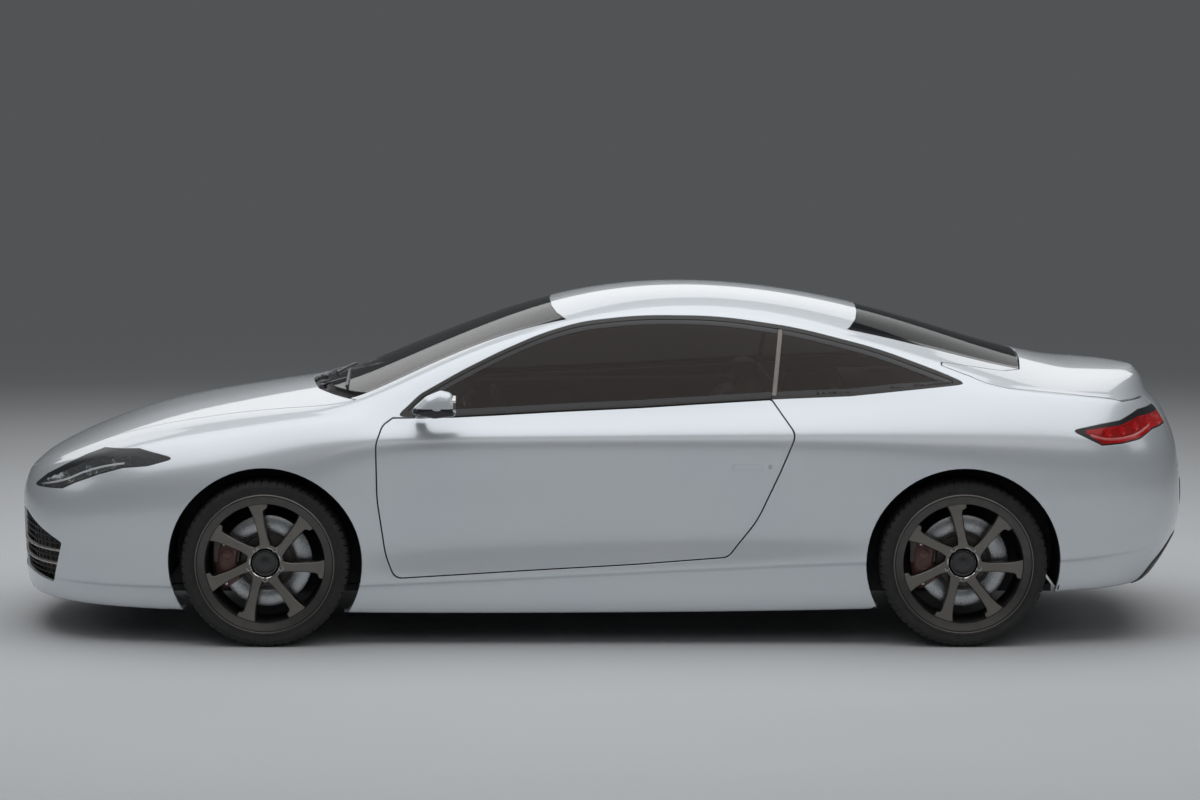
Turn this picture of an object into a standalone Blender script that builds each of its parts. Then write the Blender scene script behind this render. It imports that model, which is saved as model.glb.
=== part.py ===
"""Two-door coupe as separate panels, glass, cabin pieces and running gear.

Metres. +X is forward, +Y is the car's left, +Z is up; the origin is on the ground under the
middle of the car. Left pieces are modelled and right pieces are their mirror.
"""
import math

import bmesh
import bpy
import numpy as np
from mathutils import Matrix

# Overall sizes
WIDTH = 1.88
WHEELBASE = 2.72
FRONT_OVERHANG = 1.04
REAR_OVERHANG = 0.93
HEIGHT = 1.36

# Wheels
TYRE_DIAMETER = 0.655
TYRE_WIDTH = 0.245
RIM_DIAMETER = 0.538
WHEEL_Y = 0.7875
WHEEL_Z = TYRE_DIAMETER / 2
ARCH_RADIUS = TYRE_DIAMETER / 2 + 0.0505
DISC_DIAMETER = 0.36
KINGPIN_Y = 0.740

# Gaps and thicknesses
SHUT_GAP = 0.0085
HAIRLINE = 0.0002
GLASS_GAP = 0.009
SKIN = 0.010
GLASS_INSET = 0.004
GLASS = 0.005
DOOR_DEPTH = 0.060
PIN_RADIUS = 0.004
DOOR_HINGE = (0.700, 0.890)
DOOR_HINGE_HEIGHTS = ((0.62, 0.903), (0.80, 0.915))
BONNET_HINGE = (0.985, 0.948)
LID_HINGE_X = -1.372
LID_HINGE_Y = 0.5942
LID_HINGE_DEPTH = 0.010

# Reference length of the table below; the named sizes above stretch it
REF_FRONT, REF_REAR, REF_NOSE, REF_TAIL = 1.305, -1.415, 2.345, -2.345
REF_WIDTH, REF_HEIGHT = 1.88, 1.36
LENGTH = WHEELBASE + FRONT_OVERHANG + REAR_OVERHANG
X_FRONT = LENGTH / 2 - FRONT_OVERHANG
X_REAR = X_FRONT - WHEELBASE
HALF_WIDTH = WIDTH / 2

# Each station: x, how far its middle runs forward, then (y, z) of the rows
# bottom, crease, flank, waist, shoulder, belt, rail, edge, crown, and the z of the centre.
MID = (
    (1.45, 0.00, (.850, .136), (.885, .235), (.905, .400), (.925, .560), (.905, .700), (.830, .805), (.690, .862), (.580, .886), (.300, .913), .920),
    (1.20, 0.06, (.855, .134), (.890, .238), (.908, .400), (.932, .580), (.915, .745), (.850, .845), (.735, .893), (.635, .912), (.330, .942), .953),
    (1.00, 0.14, (.858, .132), (.888, .241), (.895, .400), (.925, .600), (.922, .780), (.862, .868), (.765, .907), (.690, .925), (.360, .958), .970),
    (0.86, 0.16, (.860, .131), (.886, .246), (.885, .400), (.915, .620), (.925, .806), (.862, .880), (.785, .925), (.715, .952), (.375, .985), .998),
    (0.66, 0.14, (.860, .130), (.886, .256), (.878, .400), (.905, .630), (.925, .815), (.852, .893), (.740, 1.020), (.670, 1.047), (.365, 1.077), 1.090),
    (0.40, 0.09, (.860, .130), (.886, .269), (.875, .410), (.905, .640), (.925, .820), (.838, .905), (.668, 1.135), (.600, 1.165), (.330, 1.200), 1.212),
    (0.12, 0.04, (.860, .131), (.886, .284), (.875, .420), (.905, .645), (.926, .822), (.828, .917), (.620, 1.215), (.550, 1.250), (.310, 1.302), 1.318),
    (-0.20, 0.00, (.860, .133), (.886, .300), (.876, .430), (.907, .645), (.928, .824), (.822, .930), (.602, 1.242), (.530, 1.282), (.300, 1.347), 1.368),
    (-0.55, -.03, (.862, .137), (.888, .318), (.880, .440), (.912, .645), (.932, .826), (.818, .943), (.600, 1.222), (.520, 1.266), (.295, 1.334), 1.356),
    (-0.90, -.06, (.865, .143), (.892, .334), (.890, .440), (.922, .640), (.938, .826), (.815, .957), (.618, 1.165), (.520, 1.210), (.290, 1.273), 1.293),
    (-1.20, -.08, (.868, .152), (.898, .342), (.905, .440), (.934, .635), (.938, .822), (.808, .972), (.650, 1.090), (.515, 1.138), (.280, 1.190), 1.206),
    (-1.50, -.10, (.868, .178), (.902, .342), (.915, .440), (.940, .630), (.932, .818), (.790, .983), (.680, 1.018), (.510, 1.056), (.270, 1.090), 1.102),
    (-1.75, -.10, (.860, .216), (.895, .338), (.908, .440), (.932, .625), (.915, .812), (.790, .965), (.705, .988), (.520, 1.018), (.270, 1.038), 1.044),
)
# Nose and tail on the centreline: (x, z) of every row, then the share of the way from the
# centreline to the last station that each added station takes along, out and up.
NOSE = ((2.285, .150), (2.325, .170), (2.340, .250), (2.347, .350), (2.349, .450), (2.343, .530), (2.325, .590), (2.312, .612), (2.300, .625), (2.290, .633), (2.285, .637))
NOSE_SHARES = ((1.0, .0, .0), (.985, .26, .07), (.93, .52, .17), (.82, .75, .33), (.63, .905, .56), (.36, .98, .82))
TAIL = ((-2.20, .232), (-2.225, .242), (-2.336, .420), (-2.348, .500), (-2.342, .640), (-2.320, .760), (-2.265, .880), (-2.215, .935), (-2.195, .988), (-2.175, 1.015), (-2.165, 1.023))
TAIL_SHARES = ((.33, .985, .22), (.60, .92, .45), (.80, .78, .67), (.925, .55, .85), (.985, .28, .96), (1.0, .0, 1.0))
LIP = 0.06
CENTRE = 10.0
LAST = len(NOSE_SHARES) + len(MID) + len(TAIL_SHARES) - 1.0
FLIP = np.array([1.0, -1.0, 1.0])

# Outlines in side view, (x, z, corner radius)
DOOR = ((.806, .894, .02), (.845, .868, .05), (.869, .800, .10), (.866, .579, .60), (.836, .363, .30), (.800, .268, .045), (.284, .300, 0), (-.136, .324, 0), (-.498, .352, .05), (-.612, .495, .40), (-.699, .688, .60), (-.760, .838, .05), (-.668, .962, .02), (-.389, .946, 0), (-.156, .932, 0), (.156, .918, 0), (.389, .906, 0), (.565, .898, 0))
GLASSHOUSE = ((.790, .900, .01), (.701, .980, .10), (.546, 1.064, 0), (.391, 1.138, 0), (.235, 1.203, 0), (.078, 1.247, 0), (-.157, 1.271, 0), (-.471, 1.267, 0), (-.783, 1.221, 0), (-1.093, 1.144, 0), (-1.324, 1.062, .05), (-1.440, 1.016, .01), (-1.168, .992, 0), (-.973, .974, 0), (-.668, .962, 0), (-.389, .946, 0), (-.156, .932, 0), (.156, .918, 0), (.389, .906, 0), (.565, .898, 0))
HEADLAMP = ((2.255, .590, .01), (2.186, .646, 0), (2.106, .690, 0), (2.026, .728, 0), (1.950, .757, .02), (1.800, .767, 0), (1.650, .737, .01), (1.762, .706, 0), (1.860, .696, 0), (1.958, .668, .02), (2.056, .630, 0), (2.108, .604, .01))
INTAKE = ((2.40, .500, .01), (2.285, .485, 0), (2.215, .432, 0), (2.140, .368, .01), (2.186, .219, .01), (2.278, .245, 0), (2.40, .25, .01))
TAIL_LAMP = ((-1.829, .849, .01), (-1.950, .870, 0), (-2.028, .880, 0), (-2.110, .912, .01), (-2.40, .925, .01), (-2.40, .850, .01), (-2.168, .835, 0), (-2.106, .806, 0), (-2.029, .794, 0), (-1.951, .790, .01))
# Boot lid seen from above (x, y) and from behind (y, z)
LID_PLAN = ((-1.6885, .05, 0), (-1.6810, .27, 0), (-1.6640, .480, .01), (-1.600, .545, .03), (-1.345, .600, .030), (-1.345, .633, .006), (-1.450, .674, .03), (-1.520, .716, .03), (-1.600, .742, 0), (-1.90, .738, 0), (-2.10, .690, 0), (-2.50, .640, .01))
LID_BACK = ((.500, .660, .03), (.500, .945, .02), (.90, .945, .01), (.90, 1.30, .01))


def place(x):
    """Stretch table x so that the axles and ends meet the named sizes."""
    return np.interp(x, (REF_TAIL - .4, REF_TAIL, REF_REAR, REF_FRONT, REF_NOSE, REF_NOSE + .4),
                     (-LENGTH / 2 - .4, -LENGTH / 2, X_REAR, X_FRONT, LENGTH / 2, LENGTH / 2 + .4))


def control_net():
    rows = []
    for station in MID:
        x, sweep = station[:2]
        points = [p if isinstance(p, tuple) else (0.0, p) for p in station[2:]]
        points.insert(0, (points[0][0] - LIP, points[0][1]))
        rows.append([(x + sweep * (1 - (y / HALF_WIDTH) ** 2), y, z) for y, z in points])
    rows = np.array(rows)
    nets = []
    for ends, shares, base in ((NOSE, NOSE_SHARES, rows[0]), (TAIL, TAIL_SHARES, rows[-1])):
        end = np.array([(x, 0.0, z) for x, z in ends])
        block = []
        for along, out, up in shares:
            block.append(np.stack([
                base[:, 0] + (end[:, 0] - base[:, 0]) * along,
                base[:, 1] * out,
                (end[:, 2] + (base[:, 2] - end[:, 2]) * up) if ends is NOSE else (base[:, 2] + (end[:, 2] - base[:, 2]) * up)], 1))
        nets.append(np.array(block))
    net = np.concatenate([nets[0], rows, nets[1]])
    net[..., 0] = place(net[..., 0])
    net[..., 1] *= WIDTH / REF_WIDTH
    net[..., 2] *= HEIGHT / REF_HEIGHT
    return net


NET = control_net()
PADDED = np.concatenate([NET[1:2] * FLIP, NET, NET[-2:-1] * FLIP])


def surface(s, t):
    """Body skin at station s and row t, arrays of the same shape."""
    s, t = np.broadcast_arrays(np.asarray(s, float), np.asarray(t, float))
    shape = s.shape
    s = np.clip(s.ravel(), 0, LAST - 1e-9)
    t = np.clip(t.ravel(), 0, CENTRE - 1e-9)
    i = np.floor(s).astype(int)
    u = (s - i)[:, None, None]
    weights = ((1 - u) ** 3 / 6, (3 * u ** 3 - 6 * u ** 2 + 4) / 6, (-3 * u ** 3 + 3 * u ** 2 + 3 * u + 1) / 6, u ** 3 / 6)
    line = sum(w * PADDED[i + m] for m, w in enumerate(weights))
    line = np.concatenate([2 * line[:, :1] - line[:, 1:2], line, line[:, -2:-1] * FLIP], axis=1)
    chord = np.linalg.norm(np.diff(line, axis=1), axis=2, keepdims=True) ** 0.5 + 1e-6
    slope = np.diff(line, axis=1) / chord
    tangent = (slope[:, :-1] * chord[:, 1:] + slope[:, 1:] * chord[:, :-1]) / (chord[:, :-1] + chord[:, 1:])
    j = np.floor(t).astype(int)
    v = (t - j)[:, None]
    n = np.arange(len(t))
    step = chord[n, j + 1]
    p0, p1, m0, m1 = line[n, j + 1], line[n, j + 2], tangent[n, j] * step, tangent[n, j + 1] * step
    points = ((2 * v ** 3 - 3 * v ** 2 + 1) * p0 + (v ** 3 - 2 * v ** 2 + v) * m0 + (-2 * v ** 3 + 3 * v ** 2) * p1 + (v ** 3 - v ** 2) * m1)
    return points.reshape(shape + (3,))


def skin_height(x, y):
    """Height of the upper skin at one point in plan."""
    s, t = np.meshgrid(np.linspace(6, 23, 341), np.linspace(6, CENTRE, 161), indexing="ij")
    points = surface(s, t).reshape(-1, 3)
    near = points[np.argsort(np.hypot(points[:, 0] - x, points[:, 1] - y))[:3]]
    return float(near[:, 2].mean())


def outward(s, t):
    """Unit normal of the skin, pointing out of the car."""
    e = 0.02
    s = np.clip(np.asarray(s, float), 0.03, LAST - 0.03)
    t = np.clip(np.asarray(t, float), 0.03, CENTRE - 0.05)
    normal = np.cross(surface(s + e, t) - surface(s - e, t), surface(s, t + e) - surface(s, t - e))
    return normal / np.linalg.norm(normal, axis=-1, keepdims=True)


def table(pairs):
    keys, values = zip(*pairs)
    return lambda x: np.interp(x, keys, values)


def patch(s0, s1, t0, t1, columns, rows):
    """Grid of points and normals between two station curves and two row curves."""
    as_curve = lambda c: c if callable(c) else (lambda x: np.full_like(x, c, dtype=float))
    s0, s1, t0, t1 = map(as_curve, (s0, s1, t0, t1))
    u, v = np.meshgrid(np.linspace(0, 1, columns + 1), np.linspace(0, 1, rows + 1), indexing="ij")
    s = np.zeros_like(u) + 10
    for _ in range(12):
        t = t0(s) + (t1(s) - t0(s)) * v
        s = s0(t) + (s1(t) - s0(t)) * u
    points, normals = surface(s, t), outward(s, t)
    middle = (s < 1e-6) | (s > LAST - 1e-6) | (t > CENTRE - 1e-6)
    points[middle, 1] = 0.0
    normals[middle, 1] = 0.0
    return points, normals / np.linalg.norm(normals, axis=-1, keepdims=True)


def shell(points, normals, near, far, both=False):
    """Closed solid between two depths under a grid of the skin; both adds its mirror."""
    n, m = points.shape[:2]
    index = np.arange(n * m).reshape(n, m)
    quads = np.stack([index[:-1, :-1], index[:-1, 1:], index[1:, 1:], index[1:, :-1]], -1).reshape(-1, 4)
    p, d = points.reshape(-1, 3), normals.reshape(-1, 3)
    if both:
        quads = np.concatenate([quads, quads[:, ::-1] + len(p)])
        p, d = np.concatenate([p, p * FLIP]), np.concatenate([d, d * FLIP])
    keys, first, back = np.unique(np.round(p, 5), axis=0, return_index=True, return_inverse=True)
    p, d, quads = p[first], d[first], back.reshape(-1)[quads]
    faces = []
    for quad in quads:
        loop = [int(v) for k, v in enumerate(quad) if v != quad[k - 1]]
        if len(loop) > 2:
            faces.append(loop)
    count = len(p)
    edges = {}
    for face in faces:
        for a, b in zip(face, face[1:] + face[:1]):
            edges[(a, b)] = True
    walls = [[b, a, a + count, b + count] for a, b in edges if (b, a) not in edges]
    verts = np.concatenate([p - d * near, p - d * far])
    return verts, faces + [[v + count for v in reversed(face)] for face in faces] + walls


def solid(name, verts, faces):
    mesh = bpy.data.meshes.new(name)
    mesh.from_pydata([tuple(map(float, v)) for v in verts], [], [list(map(int, f)) for f in faces])
    mesh.validate()
    bm = bmesh.new()
    bm.from_mesh(mesh)
    bmesh.ops.recalc_face_normals(bm, faces=bm.faces)
    bm.to_mesh(mesh)
    bm.free()
    obj = bpy.data.objects.new(name, mesh)
    bpy.context.scene.collection.objects.link(obj)
    return obj


def rounded(outline, grow=0.0, steps=3):
    """Outline moved outward by grow, then with its corners rounded."""
    points = np.array([p[:2] for p in outline], float)
    radii = [p[2] if len(p) > 2 else 0.0 for p in outline]
    area = 0.5 * np.sum(points[:, 0] * np.roll(points[:, 1], -1) - np.roll(points[:, 0], -1) * points[:, 1])
    if area < 0:
        points, radii = points[::-1], radii[::-1]
    if grow:
        ahead = np.roll(points, -1, 0) - points
        ahead /= np.linalg.norm(ahead, axis=1, keepdims=True)
        side = np.stack([ahead[:, 1], -ahead[:, 0]], 1)
        mitre = side + np.roll(side, 1, 0)
        mitre /= np.maximum(np.sum(mitre * side, axis=1, keepdims=True), 0.15)
        points = points + mitre * grow
    result = []
    for k, corner in enumerate(points):
        before, after = points[k - 1] - corner, points[(k + 1) % len(points)] - corner
        la, lb = np.linalg.norm(before), np.linalg.norm(after)
        a, b = before / la, after / lb
        half = math.acos(float(np.clip(a @ b, -1, 1))) / 2
        reach = min(radii[k] / max(math.tan(half), 1e-6), 0.45 * la, 0.45 * lb)
        if radii[k] <= 0 or reach < 1e-4:
            result.append(corner)
            continue
        for f in np.linspace(0, 1, steps + 1):
            result.append(corner + a * reach * (1 - f) ** 2 + b * reach * f ** 2)
    points = np.array(result)
    return points[np.linalg.norm(points - np.roll(points, 1, 0), axis=1) > 1e-5]


def prism(name, outline, plane, low, high, grow=0.0):
    """Solid of an outline in plane xz, xy or yz, from low to high across it."""
    flat = rounded(outline, grow)
    n = len(flat)
    across = {"xz": lambda p, c: (p[0], c, p[1]), "xy": lambda p, c: (p[0], p[1], c), "yz": lambda p, c: (c, p[0], p[1])}[plane]
    verts = [across(p, low) for p in flat] + [across(p, high) for p in flat]
    faces = [list(range(n)), list(range(2 * n - 1, n - 1, -1))] + [[k, (k + 1) % n, (k + 1) % n + n, k + n] for k in range(n)]
    return solid(name, verts, faces)


def stretched(outline, plane):
    """Table outline moved to the named sizes."""
    scale = {"x": place, "y": lambda y: y * WIDTH / REF_WIDTH, "z": lambda z: z * HEIGHT / REF_HEIGHT}
    return [(float(scale[plane[0]](p[0])), float(scale[plane[1]](p[1])), p[2] if len(p) > 2 else 0.0) for p in outline]


def combine(obj, other, operation):
    """Apply one exact boolean to obj with another solid, which is removed."""
    modifier = obj.modifiers.new(operation, "BOOLEAN")
    modifier.operation = operation
    modifier.solver = "EXACT"
    modifier.object = other
    graph = bpy.context.evaluated_depsgraph_get()
    mesh = bpy.data.meshes.new_from_object(obj.evaluated_get(graph))
    obj.modifiers.clear()
    obj.data = mesh
    bpy.data.objects.remove(other, do_unlink=True)
    return obj


def cut(obj, *others):
    for other in others:
        combine(obj, other, "DIFFERENCE")
    return obj


def keep(obj, *others):
    for other in others:
        combine(obj, other, "INTERSECT")
    return obj


def clean(obj):
    """Weld stray points, drop slivers and loose shells other than the largest."""
    bm = bmesh.new()
    bm.from_mesh(obj.data)
    bmesh.ops.remove_doubles(bm, verts=bm.verts, dist=1e-5)
    bmesh.ops.dissolve_degenerate(bm, edges=bm.edges, dist=1e-5)
    left = set(bm.faces)
    groups = []
    while left:
        stack, group = [left.pop()], []
        while stack:
            face = stack.pop()
            group.append(face)
            for edge in face.edges:
                for other in edge.link_faces:
                    if other in left:
                        left.discard(other)
                        stack.append(other)
        groups.append(group)
    groups.sort(key=lambda g: sum(f.calc_area() for f in g), reverse=True)
    for group in groups[1:]:
        bmesh.ops.delete(bm, geom=group, context="FACES")
    loose = [v for v in bm.verts if not v.link_faces]
    bmesh.ops.delete(bm, geom=loose, context="VERTS")
    bmesh.ops.recalc_face_normals(bm, faces=bm.faces)
    bm.to_mesh(obj.data)
    bm.free()
    return obj


def mirrored(obj, name):
    copy = bpy.data.objects.new(name, obj.data.copy())
    bpy.context.scene.collection.objects.link(copy)
    bm = bmesh.new()
    bm.from_mesh(copy.data)
    bmesh.ops.scale(bm, vec=(1, -1, 1), verts=bm.verts)
    bmesh.ops.reverse_faces(bm, faces=bm.faces)
    bm.to_mesh(copy.data)
    bm.free()
    return copy


def pair(obj):
    """Name a left piece and add its right mirror."""
    clean(obj)
    base = obj.name
    obj.name = base + "_left"
    return obj, mirrored(obj, base + "_right")


def block(name, low, high):
    (x0, y0, z0), (x1, y1, z1) = low, high
    verts = [(x, y, z) for x in (x0, x1) for y in (y0, y1) for z in (z0, z1)]
    return solid(name, verts, [[0, 1, 3, 2], [4, 6, 7, 5], [0, 4, 5, 1], [2, 3, 7, 6], [0, 2, 6, 4], [1, 5, 7, 3]])


def box(name, low, high):
    """Block given at the table's size and moved to the named sizes."""
    corners = [(float(place(x)), y * WIDTH / REF_WIDTH, z * HEIGHT / REF_HEIGHT) for x, y, z in (low, high)]
    return block(name, *corners)


def lathe(name, profile, centre, sides, phase=0.0):
    """Ring turned about an axis along Y; profile is a closed loop of (radius, y)."""
    n = len(profile)
    verts = []
    for k in range(sides):
        a = 2 * math.pi * k / sides + phase
        for radius, y in profile:
            verts.append((centre[0] + radius * math.sin(a), centre[1] + y, centre[2] + radius * math.cos(a)))
    faces = []
    for k in range(sides):
        for j in range(n):
            a, b = k * n + j, k * n + (j + 1) % n
            c, d = ((k + 1) % sides) * n + (j + 1) % n, ((k + 1) % sides) * n + j
            faces.append([a, b, c, d])
    return solid(name, verts, faces)


def drum(name, radius, y0, y1, centre, sides):
    """Solid round bar along Y."""
    verts = []
    for y in (y0, y1):
        for k in range(sides):
            a = 2 * math.pi * k / sides
            verts.append((centre[0] + radius * math.sin(a), y, centre[2] + radius * math.cos(a)))
    faces = [list(range(sides)), list(range(2 * sides - 1, sides - 1, -1))]
    faces += [[k, (k + 1) % sides, (k + 1) % sides + sides, k + sides] for k in range(sides)]
    return solid(name, verts, faces)


def circle(x, y, radius, sides, start=0.0, stop=360.0):
    """Points of an arc, in degrees from the second axis towards the first."""
    whole = stop - start >= 360
    angles = np.radians(np.linspace(start, stop, sides, endpoint=not whole))
    return [(x + radius * math.sin(a), y + radius * math.cos(a), 0.0) for a in angles]


def arch(x, radius=ARCH_RADIUS, low=0.40, high=1.2):
    return prism("cut", circle(x, WHEEL_Z, radius, 28), "xz", low, high)


def side(outline, grow=0.0, low=0.30, high=1.2):
    return prism("cut", stretched(outline, "xz"), "xz", low, high, grow)


def liner(x, low, high):
    """Wheelhouse tub over one wheel."""
    outer = circle(x, WHEEL_Z, ARCH_RADIUS + .011, 15, -100, 100)
    inner = circle(x, WHEEL_Z, ARCH_RADIUS + .005, 15, -100, 100)
    return prism("liner", outer + inner[::-1], "xz", low, high)


def seam(s0, s1, row, steps=5):
    """Plan points along a row between two stations, ends included."""
    return surface(np.linspace(s0, s1, steps), row)[:, :2]


def across(curve, row, steps=6):
    """Plan points along a station curve from the centreline out to a row."""
    t = np.linspace(CENTRE, row, steps)
    return surface(curve(t), t)[:, :2]


def both_ways(left):
    """Closed plan outline of a left half, given from centreline to centreline."""
    return [(x, y, 0.0) for x, y in [*left, *[(x, -y) for x, y in left[-2:0:-1]]]]


def plan(outline, grow=0.0, low=0.5, high=1.6):
    return prism("cut", outline, "xy", low, high, grow)


def skin(name, s0, s1, t0, t1, columns, rows, near, far, both=False):
    points, normals = patch(s0, s1, t0, t1, columns, rows)
    obj = solid(name, *shell(points, normals, near, far, both))
    bm = bmesh.new()
    bm.from_mesh(obj.data)
    bmesh.ops.triangulate(bm, faces=bm.faces)
    bm.to_mesh(obj.data)
    bm.free()
    return obj


for old in list(bpy.data.objects):
    bpy.data.objects.remove(old, do_unlink=True)

# Seams: station and row curves of the bonnet, cowl, screens and roof, and zones in side view
level = lambda value: (lambda t: np.full_like(np.asarray(t, float), value))
BONNET_SIDE = table(((0, 6.9), (1.2, 6.9), (2, 7.1), (3, 7.6), (4, 8.0), (30, 8.0)))
TOP_SIDE = 8.15
COWL_FRONT = table(((8.0, 8.75), (8.5, 8.35), (9.0, 8.0), (10, 7.8)))
SCREEN_FRONT = lambda t: COWL_FRONT(t) + .45
ROOF_FRONT, ROOF_REAR, WINDOW_END = 11.85, 15.25, 17.35

# Plan outlines of the top panels share the points of their seams
TOP_CURVES = (COWL_FRONT, SCREEN_FRONT, level(ROOF_FRONT), level(ROOF_REAR), level(WINDOW_END))
TOP_ENDS = [float(curve(np.array([TOP_SIDE]))[0]) for curve in TOP_CURVES]
TOP_LINES = [across(curve, TOP_SIDE) for curve in TOP_CURVES]
TOP_EDGES = [seam(a, b, TOP_SIDE) for a, b in zip(TOP_ENDS, TOP_ENDS[1:])]
COWL_ZONE, SCREEN_ZONE, ROOF_ZONE, WINDOW_ZONE = [
    both_ways([*TOP_LINES[k], *TOP_EDGES[k][1:-1], *TOP_LINES[k + 1][::-1]]) for k in range(4)]
WHOLE_TOP = both_ways([*TOP_LINES[0], *[q for edge in TOP_EDGES for q in edge[1:]], *TOP_LINES[4][-2::-1]])
BUMPER_ZONE = ((1.72, -.3), (1.72, 1.3), (2.8, 1.3), (2.8, -.3))
WING_ZONE = ((1.72, -.3), (1.72, 1.3), (.905, 1.3), (.905, .872), (.800, .872), (.800, .2565), (1.305, .2565), (1.305, -.3))
SILL_ZONE = ((1.305, -.3), (1.305, .2565), (.800, .2565), (.800, .360), (-1.415, .360), (-1.415, -.3))
RAIL_ZONE = ((.905, .872), (.905, 1.10), (.30, 1.45), (-1.00, 1.45), (-1.72, 1.35), (-1.72, 1.005), (-1.60, 1.030), (-1.35, 1.078), (-1.35, 1.055), (-1.20, 1.04), (-.70, 1.10), (.30, 1.10), (.75, .95), (.80, .872))
REAR_ZONE = ((-1.72, 1.6), (-1.72, 1.005), (-1.60, 1.030), (-1.35, 1.078), (-1.35, 1.055), (-1.20, 1.04), (-.48, 1.05), (-.48, .360), (-1.66, .360), (-1.66, .66), (-3, .66), (-3, 1.6))
TAIL_ZONE = ((-1.66, -.3), (-1.66, .66), (-3, .66), (-3, -.3))


def bonnet_zone():
    s = np.concatenate([np.linspace(8.75, 4, 7)[1:], [3.2, 2.4, 1.6, .8, 0]])
    return both_ways([*across(COWL_FRONT, 8.0), *surface(s, BONNET_SIDE(s))[:, :2]])


BONNET_ZONE = bonnet_zone()


def lid_cutter(grow):
    flat, back = stretched(LID_PLAN, "xy"), stretched(LID_BACK, "yz")
    top = flat + [(x, -y, r) for x, y, r in reversed(flat)]
    rear = back + [(-y, z, r) for y, z, r in reversed(back)]
    cutter = prism("cut", top, "xy", .4, 1.4, grow)
    return keep(cutter, prism("cut2", rear, "yz", -3, -1.2, grow))


def both_sides(make, low, high):
    return [make(low, high), make(-high, -low)]


# Front
BUMPER = (0, 5.2, 0, 8.3, 10, 8)
bumper = skin("front_bumper", *BUMPER, 0, SKIN * 1.4, both=True)
keep(bumper, side(BUMPER_ZONE, -HAIRLINE, -1.3, 1.3))
cut(bumper, plan(BONNET_ZONE, SHUT_GAP / 2))
cut(bumper, *both_sides(lambda a, b: side(INTAKE, 0, a, b), .12, 1.2), *both_sides(lambda a, b: side(HEADLAMP, HAIRLINE, a, b), .30, 1.2))
clean(bumper)

bonnet = skin("bonnet", 0, 9.4, lambda s: BONNET_SIDE(s) - .35, CENTRE, 12, 4, 0, SKIN * 1.2, both=True)
keep(bonnet, plan(BONNET_ZONE, -SHUT_GAP / 2))
EAR = ((.090, -.035), (.090, -.003), (.035, .0035), (.005, .0070, .003), (-.0065, .0055, .003), (-.0075, -.004, .003), (.001, -.008, .003))
BRACKET = ((-.055, -.098), (-.055, -.048), (-.007, .0055, .003), (.003, .0075, .003), (.008, 0, .003), (.005, -.008, .003))
bonnet_x, bonnet_z = float(place(BONNET_HINGE[0])), BONNET_HINGE[1] * HEIGHT / REF_HEIGHT


def around(outline, x, z):
    return [(x + p[0], z + p[1], p[2] if len(p) > 2 else 0.0) for p in outline]


for flip in (1, -1):
    low, high = sorted((flip * .586, flip * .594))
    combine(bonnet, prism("ear", around(EAR, bonnet_x, bonnet_z), "xz", low, high), "UNION")
    low, high = sorted((flip * .590, flip * .616))
    combine(bonnet, prism("pin", circle(bonnet_x, bonnet_z, PIN_RADIUS, 12), "xz", low, high), "UNION")
clean(bonnet)

wing = skin("front_wing", 4.4, 9.7, 0, 8.7, 9, 9, 0, 0.006)
keep(wing, side(WING_ZONE, -HAIRLINE))
cut(wing, side(DOOR, SHUT_GAP / 2), side(HEADLAMP, HAIRLINE), arch(X_FRONT), plan(BONNET_ZONE, SHUT_GAP / 2), plan(WHOLE_TOP, HAIRLINE))
pair(wing)

lamp = skin("headlamp", 1.0, 6.4, 4.2, 8.4, 8, 4, 0, 0.045)
keep(lamp, side(HEADLAMP, -HAIRLINE))
cut(lamp, plan(BONNET_ZONE, SHUT_GAP / 2))
pair(lamp)

grille = skin("front_grille", 0, 3.6, 1.1, 4.8, 7, 4, 0.006, 0.040, both=True)
cut(grille, skin("cut", *BUMPER, -.02, SKIN * 1.4 + 2 * HAIRLINE, both=True))
clean(grille)

# Sides
door = skin("door", 8.2, 16.2, 1.6, 6.6, 11, 5, 0, SKIN)
keep(door, side(DOOR, -SHUT_GAP / 2))
inner = skin("inner", 8.2, 16.2, 1.6, 6.6, 11, 5, SKIN * .5, DOOR_DEPTH)
keep(inner, side(DOOR, -.032))
combine(door, inner, "UNION")
hinge_x, hinge_y = float(place(DOOR_HINGE[0])), DOOR_HINGE[1] * WIDTH / REF_WIDTH
for z, skin_y in DOOR_HINGE_HEIGHTS:
    z *= HEIGHT / REF_HEIGHT
    cut(door, block("cut", (hinge_x - .018, .70, z - .024), (hinge_x + .20, skin_y * WIDTH / REF_WIDTH, z + .024)))
    combine(door, prism("pin", circle(hinge_x, hinge_y, PIN_RADIUS, 12), "xy", z - .028, z + .028), "UNION")
pair(door)

split = ((1.2, .80), (1.2, 1.5), (-.713, 1.5), (-.713, 1.30), (-.668, .965), (-.668, .80))
rear_split = ((-2.0, .80), (-2.0, 1.5), (-.713, 1.5), (-.713, 1.30), (-.668, .965), (-.668, .80))
DOOR_GLASS = [(x, z - (GLASS_GAP + .0038 if k > 13 else 0), r) for k, (x, z, r) in enumerate(GLASSHOUSE)]
glass = skin("door_glass", 8.6, 16.5, 5.6, 8.9, 12, 4, GLASS_INSET, GLASS_INSET + GLASS)
keep(glass, side(DOOR_GLASS, -GLASS_GAP), side(split, -SHUT_GAP / 2))
pair(glass)
quarter = skin("quarter_glass", 14, 17.9, 5.7, 8.9, 7, 4, GLASS_INSET, GLASS_INSET + GLASS)
keep(quarter, side(GLASSHOUSE, -HAIRLINE), side(rear_split, -SHUT_GAP / 2))
pair(quarter)

SILL = (8.6, 15.9, 0, 3.3, 10, 4)
sill = skin("sill", *SILL, 0, 0.011)
keep(sill, side(SILL_ZONE, -HAIRLINE))
cut(sill, side(DOOR, SHUT_GAP / 2), arch(X_FRONT), arch(X_REAR))
pair(sill)

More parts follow.
